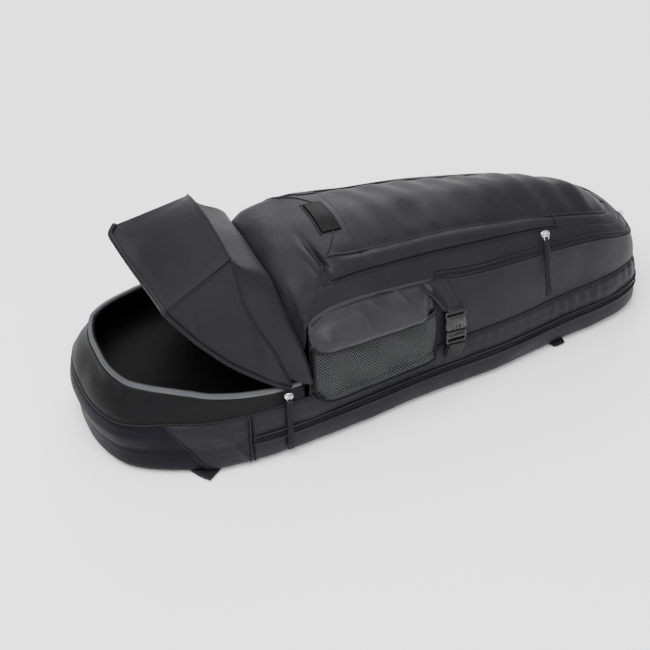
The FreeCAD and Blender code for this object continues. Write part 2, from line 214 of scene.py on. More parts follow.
def push(grid, amount, centre=MIDDLE):
    """The grid moved out along its own normals."""
    amount = np.broadcast_to(amount, grid.shape[:2])
    return grid + outward(grid, centre)[0] * amount[..., None]


def between(a, b, rows):
    """A grid from one curve to another."""
    return lerp(a[:, None], b[:, None], np.linspace(0, 1, rows)[None, :, None])


def upright(count):
    return np.tile([0.0, 0.0, 1.0], (count, 1))


def mirrored(points):
    """A line on the near side carried on, backwards, along the far side."""
    return np.vstack([points, points[::-1] * np.array([1, -1, 1])])


def ends(v, share=0.12):
    """1 inside, falling to 0 at both ends."""
    return smooth(0, share, v) * smooth(1, 1 - share, v)


def cloth(grid, soft, fine, seed, fade=1.0, size=(80, 80, 60), small=(28, 28, 70), centre=MIDDLE):
    """A sewn panel's gentle unevenness."""
    amount = value_noise(grid, size, seed) * soft + value_noise(grid, small, seed + 1) * fine
    return push(grid, amount * fade, centre)


class Surface:
    """A panel's grid that can be read between its points, to lay seams and trim on it."""

    def __init__(self, u, v, grid, centre=MIDDLE):
        self.u = np.asarray(u, float)
        self.v = np.asarray(v, float)
        self.grid = grid
        self.centre = centre
        self.normals, _ = outward(grid, centre)

    def read(self, table, u, v):
        i = np.interp(u, self.u, np.arange(len(self.u)))
        k = np.interp(v, self.v, np.arange(len(self.v)))
        i0 = np.minimum(i.astype(int), len(self.u) - 2)
        k0 = np.minimum(k.astype(int), len(self.v) - 2)
        fi, fv = (i - i0)[..., None], (k - k0)[..., None]
        low = table[i0, k0] * (1 - fv) + table[i0, k0 + 1] * fv
        high = table[i0 + 1, k0] * (1 - fv) + table[i0 + 1, k0 + 1] * fv
        return low * (1 - fi) + high * fi

    def at(self, u, v, lift=0.0):
        u, v = np.broadcast_arrays(np.asarray(u, float), np.asarray(v, float))
        place = self.read(self.grid, u, v)
        normal = self.read(self.normals, u, v)
        return place + normal * (np.zeros(u.shape) + lift)[..., None]

    def line(self, u, v, lift=0.0):
        """Points and normals along a line on the surface."""
        u, v = np.broadcast_arrays(np.asarray(u, float), np.asarray(v, float))
        return self.at(u, v, lift), self.read(self.normals, u, v)


# ---------------------------------------------------------------- meshes
def new_object(name, verts, faces, material, sharp=False):
    mesh = bpy.data.meshes.new(name)
    faces = faces.tolist() if isinstance(faces, np.ndarray) else faces
    mesh.from_pydata((np.asarray(verts) * MM).tolist(), [], faces)
    mesh.validate()
    mesh.update()
    obj = bpy.data.objects.new(name, mesh)
    bpy.context.collection.objects.link(obj)
    mesh.materials.append(material)
    if not sharp:
        mesh.polygons.foreach_set("use_smooth", [True] * len(mesh.polygons))
    return obj


def sheet_mesh(grid, thick, keep=None, centre=MIDDLE):
    """A grid given a thickness inwards, with its edges closed; keep marks the quads that stay."""
    nu, nv = grid.shape[:2]
    normal, turned = outward(grid, centre)
    verts = np.vstack([grid.reshape(-1, 3), (grid - normal * thick).reshape(-1, 3)])
    i, k = np.meshgrid(np.arange(nu - 1), np.arange(nv - 1), indexing="ij")
    corner = i * nv + k
    quads = np.stack([corner, corner + nv, corner + nv + 1, corner + 1], axis=-1).reshape(-1, 4)
    if turned:
        quads = quads[:, ::-1]
    if keep is not None:
        quads = quads[keep.reshape(-1)]
    edges = np.stack([quads, np.roll(quads, -1, axis=1)], axis=-1).reshape(-1, 2)
    _, which, count = np.unique(np.sort(edges, axis=1), axis=0, return_inverse=True,
                                return_counts=True)
    rim = edges[count[which.reshape(-1)] == 1]
    under = nu * nv
    rim = np.column_stack([rim[:, 1], rim[:, 0], rim[:, 0] + under, rim[:, 1] + under])
    faces = np.vstack([quads, quads[:, ::-1] + under, rim])
    used, faces = np.unique(faces, return_inverse=True)
    return verts[used], faces.reshape(-1, 4)


def frames(path, normals):
    """Tangent, side and up vectors along a path on a surface."""
    tangent = np.gradient(path, axis=0)
    tangent /= np.maximum(np.linalg.norm(tangent, axis=1, keepdims=True), 1e-9)
    up = normals - tangent * np.sum(normals * tangent, axis=1, keepdims=True)
    up /= np.maximum(np.linalg.norm(up, axis=1, keepdims=True), 1e-9)
    return tangent, np.cross(tangent, up), up


def sweep(path, normals, section, closed=False):
    """A closed section of (side, up) points carried along a path."""
    _, side, up = frames(path, normals)
    section = np.array(section, float)
    k = len(section)
    rings = (path[:, None] + side[:, None] * section[None, :, :1]
             + up[:, None] * section[None, :, 1:])
    faces = []
    n = len(path)
    for i in range(n if closed else n - 1):
        j = (i + 1) % n
        for a in range(k):
            b = (a + 1) % k
            faces.append((i * k + a, i * k + b, j * k + b, j * k + a))
    if not closed:
        faces.append(tuple(range(k))[::-1])
        faces.append(tuple((n - 1) * k + a for a in range(k)))
    return rings.reshape(-1, 3), faces


def round_section(radius, flat=1.0, sides=8, lift=0.0):
    turn = np.arange(sides) * 2 * math.pi / sides
    return np.column_stack([np.cos(turn) * radius, np.sin(turn) * radius * flat + lift])


def bar_section(width, thick, lift=0.0):
    """A flat strip with softened edges."""
    w, t = width / 2, thick
    return np.array([(-w, lift), (w, lift), (w, lift + t * 0.6), (w - t * 0.5, lift + t),
                     (-w + t * 0.5, lift + t), (-w, lift + t * 0.6)])


def repeat_along(path, normals, pitch, shape, faces, start=0.0):
    """Copies of a small shape (x along the path, y across, z out) at a pitch."""
    run = lengths(path)
    count = int((run[-1] - start) / pitch)
    where = start + pitch * (np.arange(count) + 0.5)
    tangent, side, up = frames(path, normals)

    def at(table):
        return np.column_stack([np.interp(where, run, table[:, k]) for k in range(3)])

    p, t, s, u = at(path), at(tangent), at(side), at(up)
    shape = np.array(shape, float)
    verts = (p[:, None] + t[:, None] * shape[None, :, :1] + s[:, None] * shape[None, :, 1:2]
             + u[:, None] * shape[None, :, 2:])
    every = []
    for i in range(count):
        every += [tuple(v + i * len(shape) for v in face) for face in faces]
    return verts.reshape(-1, 3), every


def box_shape(length, width, height, low=0.0, taper=0.75):
    x, y = length / 2, width / 2
    base = [(-x, -y, low), (x, -y, low), (x, y, low), (-x, y, low)]
    top = [(a * taper, b * taper, low + height) for a, b, _ in base]
    faces = [(0, 3, 2, 1), (4, 5, 6, 7), (0, 1, 5, 4), (1, 2, 6, 5), (2, 3, 7, 6), (3, 0, 4, 7)]
    return base + top, faces


def joined(parts):
    verts, faces, start = [], [], 0
    for v, f in parts:
        verts.append(np.asarray(v, float))
        f = f.tolist() if isinstance(f, np.ndarray) else f
        faces += [tuple(k + start for k in face) for face in f]
        start += len(v)
    return np.vstack(verts), faces


def piece(name, mesh, material, body, stands_for=(), blend=None, sharp=False):
    """Makes an object and rides it on a body, or, when blend is given, bakes it where it stands with no
    parent; hides the CAD parts it stands for.
    """
    verts, faces = mesh
    obj = new_object(name, verts, faces, material, sharp)
    if blend:
        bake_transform(obj)
    else:
        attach(obj, body)
    if stands_for:
        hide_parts(*stands_for)
    return obj


# ---------------------------------------------------------------- materials
def material(name, colour, rough, nodes=None, **sockets):
    mat = bpy.data.materials.new(name)
    mat.use_nodes = True
    tree = mat.node_tree
    shader = tree.nodes["Principled BSDF"]
    shader.inputs["Base Color"].default_value = (*colour, 1)
    shader.inputs["Roughness"].default_value = rough
    for key, value in sockets.items():
        shader.inputs[key.replace("_", " ")].default_value = value
    if nodes:
        nodes(tree, shader, colour)
    return mat


def add(tree, kind, **values):
    """A node with its sockets (named with _ for a space) and settings."""
    node = tree.nodes.new(kind)
    for key, value in values.items():
        socket = key.replace("_", " ")
        if socket in node.inputs:
            node.inputs[socket].default_value = value
        else:
            setattr(node, key, value)
    return node


def combined(tree, operation, first, second):
    node = add(tree, "ShaderNodeMath", operation=operation)
    tree.links.new(first, node.inputs[0])
    tree.links.new(second, node.inputs[1])
    return node.outputs[0]


def ramp(tree, source, colour, spread, stops=(0.0, 1.0)):
    """The colour made darker and lighter by a share, along a value."""
    node = add(tree, "ShaderNodeValToRGB")
    for element, stop, share in zip(node.color_ramp.elements, stops, (1 - spread, 1 + spread)):
        element.position = stop
        element.color = (*[min(c * share, 1) for c in colour], 1)
    tree.links.new(source, node.inputs["Fac"])
    return node.outputs["Color"]


def gloss(tree, shader, source, low, high):
    rough = add(tree, "ShaderNodeMapRange", To_Min=low, To_Max=high)
    tree.links.new(source, rough.inputs["Value"])
    tree.links.new(rough.outputs["Result"], shader.inputs["Roughness"])


def weave_nodes(thread, depth, mottle, rough_low=0.42, rough_high=0.58):
    """Woven cloth: crossed threads as bump, with a slow variation of colour and roughness."""
    def build(tree, shader, colour):
        link = tree.links.new
        where = add(tree, "ShaderNodeTexCoord")
        facing = add(tree, "ShaderNodeSeparateXYZ")
        link(where.outputs["Normal"], facing.inputs[0])
        waves = []
        for direction in ("X", "Y", "Z"):
            wave = add(tree, "ShaderNodeTexWave", wave_type="BANDS", bands_direction=direction,
                       Scale=2 * math.pi / (thread * MM * 20), Distortion=0.6, Detail=1.0)
            link(where.outputs["Object"], wave.inputs["Vector"])
            along = add(tree, "ShaderNodeMath", operation="ABSOLUTE")
            link(facing.outputs[direction], along.inputs[0])
            weight = add(tree, "ShaderNodeMapRange", From_Min=0.35, From_Max=0.85, To_Min=1.0,
                         To_Max=0.0)
            link(along.outputs[0], weight.inputs["Value"])
            waves.append(combined(tree, "MULTIPLY", wave.outputs["Fac"], weight.outputs["Result"]))
        weave = combined(tree, "ADD", combined(tree, "ADD", waves[0], waves[1]), waves[2])
        fine = add(tree, "ShaderNodeTexNoise", Scale=140.0, Detail=5.0, Roughness=0.6)
        link(where.outputs["Object"], fine.inputs["Vector"])
        slow = add(tree, "ShaderNodeTexNoise", Scale=9.0, Detail=3.0, Roughness=0.55)
        link(where.outputs["Object"], slow.inputs["Vector"])
        threads = add(tree, "ShaderNodeMix", data_type="RGBA", blend_type="MULTIPLY", Factor=0.25)
        link(ramp(tree, slow.outputs["Fac"], colour, mottle, (0.32, 0.70)), threads.inputs[6])
        link(weave, threads.inputs[7])
        link(threads.outputs[2], shader.inputs["Base Color"])
        gloss(tree, shader, fine.outputs["Fac"], rough_low, rough_high)
        low = add(tree, "ShaderNodeBump", Strength=0.35, Distance=0.0012)
        link(fine.outputs["Fac"], low.inputs["Height"])
        high = add(tree, "ShaderNodeBump", Strength=depth, Distance=0.0003)
        link(weave, high.inputs["Height"])
        link(low.outputs["Normal"], high.inputs["Normal"])
        link(high.outputs["Normal"], shader.inputs["Normal"])
    return build


def worn_nodes(scale, depth, low, high):
    """Moulded or cast surfaces: fine grain and slight wear in the gloss."""
    def build(tree, shader, colour):
        link = tree.links.new
        where = add(tree, "ShaderNodeTexCoord")
        grain = add(tree, "ShaderNodeTexNoise", Scale=scale, Detail=6.0, Roughness=0.6)
        link(where.outputs["Object"], grain.inputs["Vector"])
        link(ramp(tree, grain.outputs["Fac"], colour, 0.2), shader.inputs["Base Color"])
        gloss(tree, shader, grain.outputs["Fac"], low, high)
        relief = add(tree, "ShaderNodeBump", Strength=depth, Distance=0.0004)
        link(grain.outputs["Fac"], relief.inputs["Height"])
        link(relief.outputs["Normal"], shader.inputs["Normal"])
    return build


NYLON = material("charcoal_nylon", (0.0085, 0.0080, 0.0098), 0.46, weave_nodes(0.7, 0.2, 0.16),
                 Sheen_Weight=0.01, Sheen_Roughness=0.5, Specular_IOR_Level=0.13)
# A lighter, glossier copy of the charcoal nylon for the side pocket's cover: its higher base colour is
# painted light, brightening a cover that faces away from the key lamp.
LIT_NYLON = material("nylon_painted_light", (0.0150, 0.0143, 0.0168), 0.42,
                      weave_nodes(0.6, 0.2, 0.16, rough_low=0.36, rough_high=0.5),
                      Specular_IOR_Level=0.22)
TARPAULIN = material("boot_tarpaulin", (0.0038, 0.0034, 0.0062), 0.5,
                     weave_nodes(1.1, 0.3, 0.16, rough_low=0.46, rough_high=0.6),
                     Specular_IOR_Level=0.08)
DARK = material("dark_nylon", (0.0024, 0.0023, 0.0029), 0.55, weave_nodes(0.7, 0.25, 0.15),
                Specular_IOR_Level=0.12)
LINING = material("black_lining", (0.0022, 0.0022, 0.0026), 0.7, weave_nodes(0.8, 0.25, 0.15),
                  Specular_IOR_Level=0.06)
RIM = material("grey_rim_tape", (0.068, 0.068, 0.074), 0.6, weave_nodes(1.2, 0.4, 0.15),
               Specular_IOR_Level=0.2)
WEBBING = material("black_webbing", (0.0048, 0.0048, 0.0054), 0.6, weave_nodes(1.6, 0.6, 0.15),
                   Specular_IOR_Level=0.16)
TAPE = material("zip_tape", (0.0042, 0.0040, 0.0048), 0.55, weave_nodes(1.0, 0.4, 0.12),
                Specular_IOR_Level=0.16)
COIL = material("zip_coil", (0.0030, 0.0030, 0.0034), 0.35, worn_nodes(900, 0.2, 0.25, 0.45),
                Specular_IOR_Level=0.25)
THREAD = material("sewing_thread", (0.021, 0.020, 0.023), 0.55, worn_nodes(1500, 0.3, 0.5, 0.65),
                  Specular_IOR_Level=0.2)
# The net's threads in a light grey-green on what is a black mesh: the colour is a painted sheen,
# standing in for the glints along its threads.
NET_PAINTED_GLINT = material("pocket_net", (0.052, 0.058, 0.057), 0.45, worn_nodes(1200, 0.3, 0.35, 0.5),
               Specular_IOR_Level=0.3)
SPACER = material("back_spacer_mesh", (0.0085, 0.0085, 0.0095), 0.8, weave_nodes(2.2, 0.8, 0.2),
                  Specular_IOR_Level=0.12)
PLASTIC = material("buckle_plastic", (0.0062, 0.0062, 0.0068), 0.34, worn_nodes(700, 0.25, 0.28, 0.42),
                   Specular_IOR_Level=0.4)
METAL = material("slider_metal", (0.42, 0.42, 0.44), 0.26, worn_nodes(500, 0.08, 0.16, 0.32),
                 Metallic=1.0)
LABEL = material("blank_label", (0.0014, 0.0014, 0.0017), 0.5, worn_nodes(800, 0.2, 0.42, 0.55),
                 Specular_IOR_Level=0.06)


# ---------------------------------------------------------------- the walls' own coordinates
class Outline:
    """The closed plan outline, measured from the middle of the base end, near side first."""

    def __init__(self, half):
        near = [(x, -y) for x, y in half]
        far = [(x, y) for x, y in reversed(half[1:-1])]
        self.path = curve_through(near + far, 24, closed=True)
        self.path = np.vstack([self.path, self.path[:1]])
        self.run = lengths(self.path)
        self.total = self.run[-1]
        self.s = self.run / self.total
        step = np.gradient(self.path, axis=0)
        out = np.column_stack([step[:, 1], -step[:, 0]])
        self.out = out / np.linalg.norm(out, axis=1, keepdims=True)

    def at(self, s):
        s = np.asarray(s, float) % 1.0
        xy = np.stack([np.interp(s, self.s, self.path[:, k]) for k in (0, 1)], axis=-1)
        n = np.stack([np.interp(s, self.s, self.out[:, k]) for k in (0, 1)], axis=-1)
        return xy, n / np.linalg.norm(n, axis=-1, keepdims=True)

    def s_at_x(self, x):
        """Where the near side crosses x, as a share of the outline; 1 minus it is the far side."""
        half = len(self.s) // 2 + 1
        return np.interp(x, self.path[:half, 0], self.s[:half])


OUTLINE = Outline(PLAN)


def wall(s, z, out=0.0):
    """A point on the side wall."""
    s, z = np.broadcast_arrays(np.asarray(s, float), np.asarray(z, float))
    xy, n = OUTLINE.at(s)
    inset = np.interp(z, WALL_Z, WALL_IN)
    flare = END_FLARE * smooth(-320, -392, xy[..., 0]) * smooth(18, 66, z) * smooth(132, 84, z)
    flat = xy - n * (inset - out - flare)[..., None]
    return np.concatenate([flat, z[..., None]], axis=-1)


def wall_normal(s):
    _, n = OUTLINE.at(s)
    return np.concatenate([n, np.zeros(n.shape[:-1] + (1,))], axis=-1)


def rim_height(s):
    """The shoe compartment's rim: level along the sides and higher round the base end."""
    xy, _ = OUTLINE.at(s)
    return RIM_Z + (RIM_END_Z - RIM_Z) * smooth(-170, -385, xy[..., 0])


# ---------------------------------------------------------------- sewn trim
STITCH = box_shape(2.3, 0.75, 0.45, -0.1)


def piping(line, radius=1.8, lift=0.6, flat=0.8):
    """A corded seam along points and normals."""
    path, normals = line
    return sweep(path, normals, round_section(radius, flat, 10, lift))


def stitches(line, aside=0.0, pitch=3.4):
    path, normals = line
    verts, faces = STITCH
    moved = [(x, y + aside, z) for x, y, z in verts]
    return repeat_along(path, normals, pitch, moved, faces)


def tape_strip(line, width, thick=0.9, lift=0.0, aside=0.0):
    path, normals = line
    section = bar_section(width, thick, lift) + np.array([aside, 0.0])
    return sweep(path, normals, section)


def coil_row(line, aside, pitch=2.4):
    """One side of a zip's teeth."""
    path, normals = line
    verts, faces = box_shape(1.4, 1.5, 0.9, 0.4)
    moved = [(x, y + aside, z) for x, y, z in verts]
    start = pitch * 0.5 if aside > 0 else 0.0
    return repeat_along(path, normals, pitch, moved, faces, start)


def plate(outline, low, high, bevel=0.5):
    """A flat part on an outline of (x, y), with bevelled edges."""
    edge = np.array(outline, float)
    middle = edge.mean(axis=0)
    reach = np.linalg.norm(edge - middle, axis=1, keepdims=True)
    small = middle + (edge - middle) * (reach - bevel) / reach
    n = len(edge)
    loops = [(small, low), (edge, low + bevel), (edge, high - bevel), (small, high)]
    verts = np.vstack([np.column_stack([loop, np.full(n, z)]) for loop, z in loops])
    faces = [tuple(range(n))[::-1], tuple(3 * n + k for k in range(n))]
    for level in range(3):
        for k in range(n):
            a, b = level * n + k, level * n + (k + 1) % n
            faces.append((a, b, b + n, a + n))
    return verts, faces


def frame_plate(outer, inner, low, high, bevel=0.5):
    """A flat ring between two outlines that have the same number of points."""
    outer, inner = np.array(outer, float), np.array(inner, float)
    n = len(outer)
    gap = inner - outer
    reach = np.linalg.norm(gap, axis=1, keepdims=True)
    step = gap / reach * bevel
    loops = [(outer, low + bevel), (outer, high - bevel), (outer + step, high),
             (inner - step, high), (inner, high - bevel), (inner, low + bevel),
             (inner - step, low), (outer + step, low)]
    verts = np.vstack([np.column_stack([loop, np.full(n, z)]) for loop, z in loops])
    faces = []
    for level in range(8):
        for k in range(n):
            j = (k + 1) % n
            below, above = level * n, (level + 1) % 8 * n
            faces.append((below + k, below + j, above + j, above + k))
    return verts, faces


def rounded_rectangle(width, length, radius, corner=5, centre=(0.0, 0.0)):
    """An outline of (x, y), turning left from the right-hand side."""
    points = []
    for quarter, (sx, sy) in enumerate(((1, -1), (1, 1), (-1, 1), (-1, -1))):
        start = -math.pi / 2 + quarter * math.pi / 2
        for k in range(corner):
            angle = start + k * math.pi / 2 / (corner - 1)
            points.append((centre[0] + sx * (width / 2 - radius) + radius * math.cos(angle),
                           centre[1] + sy * (length / 2 - radius) + radius * math.sin(angle)))
    return points


def placed(mesh, origin, x_axis, y_axis, z_axis):
    """A mesh carried from its own axes to a place on the bag."""
    verts, faces = mesh
    turn = np.array([x_axis, y_axis, z_axis], float)
    return np.asarray(verts, float) @ turn + np.array(origin, float), faces


# ---------------------------------------------------------------- lower walls and band
FOLD_BLEND = ("back_shell", "front_body", (-215, 0, 60), (-110, 0, 60))
SIDE_S = OUTLINE.s_at_x(SEAM_X)


def wall_line(s, z, out=0.0):
    return wall(s, np.full(len(s), z), out), wall_normal(s)


def boot_edge(z):
    """Where the boot ends at each height, as x on the near side."""
    return BOOT_TOP_X + (BOOT_FOOT_X - BOOT_TOP_X) * (BAND_TOP - z) / BAND_TOP


def build_lower_walls():
    """Boot, side panels and the wall below the main zip."""
    z = np.concatenate([[0, 1, 2.5, 5, 8, 12], np.linspace(16, ZIP_LOW, 12)])
    s = np.linspace(SIDE_S, 1 - SIDE_S, 900)
    fade = smooth(0, 10, z)[None, :] * smooth(ZIP_LOW, ZIP_LOW - 8, z)[None, :]
    grid = cloth(wall(s[:, None], z[None, :]), 1.6, 0.7, 3, fade, (60, 60, 40), (20, 20, 50))
    piece("lower_wall", sheet_mesh(grid, 1.6), NYLON, "back_shell",
          ["lower_gusset"])

    z = np.concatenate([[0, 1, 2.5, 5, 8, 12], np.linspace(16, BAND_TOP, 30)])
    start = OUTLINE.s_at_x(boot_edge(z))
    t = np.linspace(0, 1, 260)[:, None]
    s = -start + t * 2 * start
    fade = smooth(0, 14, z)[None, :] * smooth(BAND_TOP, BAND_TOP - 10, z)[None, :]
    grid = cloth(wall(s, z[None, :]), 1.3, 0.3, 11, fade, (80, 80, 60), (30, 30, 40))
    piece("boot_shell", sheet_mesh(grid, 1.8), TARPAULIN, "back_shell",
          ["base_boot"])
    trim = []
    t = np.linspace(0, 1, 110)[:, None]
    for name, side in (("near", 1), ("far", -1)):
        grid = wall(side * (start + t * (SIDE_S - start)), z[None, :])
        place = grid + np.array([0.55, 0, 0]) * grid[..., 2:]
        crease = folds(place, (30, 30, 110), 21)
        amount = value_noise(grid, (44, 44, 60), 22) * 2.2 + (crease - 0.4) * 3.4
        piece("boot_side_" + name, sheet_mesh(push(grid, amount * fade), 1.6), NYLON,
              "back_shell", ["boot_side_panels"])
        edge = side * start
        line = wall(edge[3:], z[3:], 0.6), wall_normal(edge[3:])
        trim.append(piping(line, 1.3, 0.2))
    piece("boot_seams", joined(trim), TAPE, "back_shell")


def build_band():
    """The puckered band between the main zip and the corded seam above it."""
    z = np.linspace(ZIP_HIGH, BAND_TOP, 26)
    s = np.linspace(SIDE_S, 1 - SIDE_S, 1300)
    grid = wall(s[:, None], z[None, :])
    x = grid[:, 0, 0]
    along = s * OUTLINE.total
    strength = 0.35 + 0.9 * bump(x, 215, 110) + 0.6 * bump(x, 10, 50) + 0.4 * bump(x, 360, 60)
    track = np.column_stack([along, along * 0, along * 0])
    ridge = np.cos(2 * math.pi * (along + value_noise(track, 55, 31) * 9) / 19.0)
    keep = 0.5 + 0.6 * value_noise(track + 9, 42, 32)
    level = (0.25 + 0.75 * smooth(ZIP_HIGH + 2, BAND_TOP - 4, z))[None, :]
    fade = smooth(ZIP_HIGH - 2, ZIP_HIGH + 6, z)[None, :]
    amount = (ridge * strength * keep)[:, None] * level * fade * 1.4
    amount += value_noise(grid, (36, 36, 50), 33) * 1.3 * fade
    piece("upper_band", sheet_mesh(push(grid, amount), 1.6), NYLON, None,
          ["lid_band", "fold_side_panels"], FOLD_BLEND)

    s = np.linspace(SIDE_S, 1 - SIDE_S, 900)
    seam = wall_line(s, BAND_TOP + 0.3, 0.4)
    piece("band_seam", piping(seam, 1.7, 0.0), TAPE, None, (), FOLD_BLEND)
    s = np.linspace(-SIDE_S, SIDE_S, 500)
    piece("boot_top_seam", piping(wall_line(s, BAND_TOP + 0.3, 0.4), 1.7, 0.0), TAPE, "back_shell")


def build_main_zip():
    """Tapes, teeth and corded lips; the upper half is baked in place with no parent."""
    s = np.linspace(SIDE_S, 1 - SIDE_S, 1000)
    lower = wall_line(s, 39.0, 0.6)
    upper = wall_line(s, 42.4, 0.6)
    piece("main_zip_lower", joined([tape_strip(lower, 5.5, 0.8, -0.6, 0.6),
                                    piping(wall_line(s, 35.2, 1.8), 1.5, 0.0)]),
          NYLON, "back_shell", ["main_zip_lower_tape"])
    piece("main_zip_lower_coil", coil_row(wall_line(s, 40.5, 0.6), -0.806), COIL, "back_shell")
    piece("main_zip_upper", joined([tape_strip(upper, 5.5, 0.8, -0.6, -0.6),
                                    piping(wall_line(s, 46.2, 1.6), 1.5, 0.0)]),
          NYLON, None, ["main_zip_upper_tape"], FOLD_BLEND)
    piece("main_zip_upper_coil", coil_row(wall_line(s, 40.9, 0.6), 0.806), COIL, None,
          (), FOLD_BLEND)
    z = np.concatenate([[2.5, 5, 8, 12], np.linspace(16, BAND_TOP, 30)])
    for side in (1, -1):
        rows = []
        for step in (-0.0016, 0.0016):
            s_here = np.full(len(z), side * (SIDE_S + step))
            rows.append(piping((wall(s_here, z, 0.5), wall_normal(s_here)), 1.2, 0.2))
        piece("side_seam_" + ("near" if side == 1 else "far"), joined(rows), NYLON, "back_shell")


# ---------------------------------------------------------------- front compartment
FRONT_Q = np.array([row[0] for row in FRONT], float)


def front_net():
    """The seven lengthwise lines through the stations, mirrored to the far side."""
    rows = []
    for _, welt, zip_line, seam, crown in FRONT:
        near = [(x, -y, z) for x, y, z in (welt, zip_line, seam)]
        rows.append(near + [(crown[0], 0, crown[1])] + [(x, -y, z) for x, y, z in reversed(near)])
    return np.array(rows, float)


def front_surface():
    """The front's surface by station (nearly x) and by line, 0 near welt to 6 far welt."""
    net = front_net()
    index = np.arange(len(FRONT_Q))
    q = np.concatenate([np.linspace(-172, -100, 60), np.linspace(-98, 400, 420)])
    w = np.linspace(0, 6, 181)
    knots = np.interp(q, FRONT_Q, index)
    lines = []
    for k in range(7):
        dense = curve_through(np.column_stack([index, net[:, k]]), 24)
        lines.append(np.column_stack([np.interp(knots, dense[:, 0], dense[:, c + 1])
                                      for c in range(3)]))
    grid = []
    for row in np.stack(lines, axis=1):
        dense = curve_through(np.column_stack([np.arange(7), row]), 16)
        grid.append(np.column_stack([np.interp(w, dense[:, 0], dense[:, c + 1]) for c in range(3)]))
    grid = np.array(grid)
    return Surface(q, w, front_relief(q, w, grid))


def front_relief(q, w, grid):
    """Seams pull the cloth in, and it swells between them; a pleat folds in beside the label."""
    grid_q, w = q[:, None], w[None, :]
    pinch = -2.2 * (bump(w, 2, 0.16) + bump(w, 4, 0.16)) * smooth(-90, -70, grid_q)
    pinch = pinch - 1.6 * (bump(w, 1.04, 0.12) + bump(w, 4.96, 0.12)) * smooth(-116, -104, grid_q)
    edge = smooth(0, 0.25, w) * smooth(6, 5.75, w)
    soft = value_noise(grid, (90, 70, 90), 51) * 2.4 + value_noise(grid, (38, 30, 40), 52) * 1.0
    lean = grid[..., 0] + 0.35 * grid[..., 1] + 6 * value_noise(grid, (70, 70, 70), 53)
    quilt = np.cos(2 * math.pi * lean / 41.0)
    quilt = quilt * smooth(-60, 0, grid[..., 0]) * smooth(350, 300, grid[..., 0])
    quilt = quilt * smooth(1.9, 2.3, w) * smooth(4.1, 3.7, w) * 1.15
    crumple = (folds(grid, (26, 34, 26), 54) - 0.4) * 1.5
    crumple = crumple * (bump(grid[..., 0], -142, 22) * bump(np.abs(grid[..., 1]), 118, 20))
    slant = grid_q + 12 * (w - 2)
    pleat = 5.0 * bump(w, 1.9, 0.5) * bump(slant, -114, 6)
    pleat = pleat - 9.0 * bump(w, 2.05, 0.42) * bump(slant, -104, 4)
    lift = soft * edge + quilt + crumple + pinch + pleat
    valley = smooth(-172, -150, q)[:, None]
    return push(grid, lift * valley)


FRONT_PANEL = front_surface()
PANEL_START, PANEL_END = -50.0, POCKET_END_X
LID_BLEND = ("front_body", "second_lid", (-76, 0, 200), (-53, 0, 200))


def welt_of(x):
    """Half width and height of the welt at each x."""
    near = FRONT_PANEL.at(np.linspace(-172, 400, 400), 0.0)
    order = np.argsort(near[:, 0])
    return np.interp(x, near[order, 0], -near[order, 1]), np.interp(x, near[order, 0], near[order, 2])


def wall_over_band(count, rows):
    """Near side between the band's seam and the welt, from the fold round to the top end."""
    s = np.linspace(OUTLINE.s_at_x(-146), 0.5, count)
    low = wall(s, BAND_TOP + 0.5)
    x = OUTLINE.at(s)[0][:, 0]
    turn_s = OUTLINE.s_at_x(TOP_TURN_X)
    turn = np.clip((s - turn_s) / (0.5 - turn_s), 0, 1)
    q = lerp(x, TOP_TURN_X + (400 - TOP_TURN_X) * turn, smooth(320, 390, x))
    v = np.linspace(0, 1, rows)
    grid = between(low, FRONT_PANEL.at(q, 0.0), rows)
    swell = np.sin(v * math.pi) ** 0.8
    grid = grid + wall_normal(s)[:, None] * (swell * 2.6)[None, :, None]
    return Surface(s, v, cloth(grid, 1.8, 0.9, 41, ends(v)[None, :]))


NEAR_WALL = wall_over_band(520, 44)


def flank(x, z, out=0.0):
    """A point on the near side wall above the band."""
    x, z = np.broadcast_arrays(np.asarray(x, float), np.asarray(z, float))
    _, top = welt_of(x)
    return NEAR_WALL.at(OUTLINE.s_at_x(x), (z - BAND_TOP - 0.5) / (top - BAND_TOP - 0.5), out)


def build_upper_wall():
    near = NEAR_WALL.grid
    grid = np.concatenate([near, (near[::-1] * np.array([1, -1, 1]))[1:]])
    piece("upper_wall", sheet_mesh(grid, 1.6), NYLON, "front_body", ["lid_wall"])


def build_front_shell():
    """Lower front and second lid in one skin, open where the front pocket's panel lies."""
    q, w, grid = FRONT_PANEL.u, FRONT_PANEL.v, FRONT_PANEL.grid
    mid_q = (q[:-1] + q[1:]) / 2
    mid_w = (w[:-1] + w[1:]) / 2
    inside = ((mid_q > PANEL_START + 1) & (mid_q < PANEL_END))[:, None]
    inside = inside & ((mid_w > 1.08) & (mid_w < 3.94))[None, :]
    piece("front_shell", sheet_mesh(grid, 2.2, ~inside), NYLON, None,
          ["lower_front", "second_lid_sides", "top_panel"], LID_BLEND)
    q = np.linspace(PANEL_START, PANEL_END + 2, 260)
    w = np.linspace(PANEL_LOW_W, PANEL_HIGH_W, 110)
    across = (w - w[0]) / (w[-1] - w[0])
    along = (q - q[0]) / (q[-1] - q[0])
    panel = FRONT_PANEL.at(q[:, None], w[None, :], 0.9)
    edge = ends(across, 0.03)[None, :] * ends(along, 0.08)[:, None]
    panel = push(panel, 1.6 * edge - 0.7)
    piece("front_panel", sheet_mesh(panel, 3.2), NYLON, "pocket_panel",
          ["front_panel"])
    depth = -13.0 * ends(across, 0.10)[None, :] * ends(along, 0.05)[:, None] - 4.5
    piece("pocket_lining", sheet_mesh(FRONT_PANEL.at(q[:, None], w[None, :], depth), 1.0),
          LINING, "second_lid", ["pocket_lining"])


def front_trim(name, rows, body, blend=None, paint=NYLON):
    piece(name, joined(rows), paint, body, (), blend)


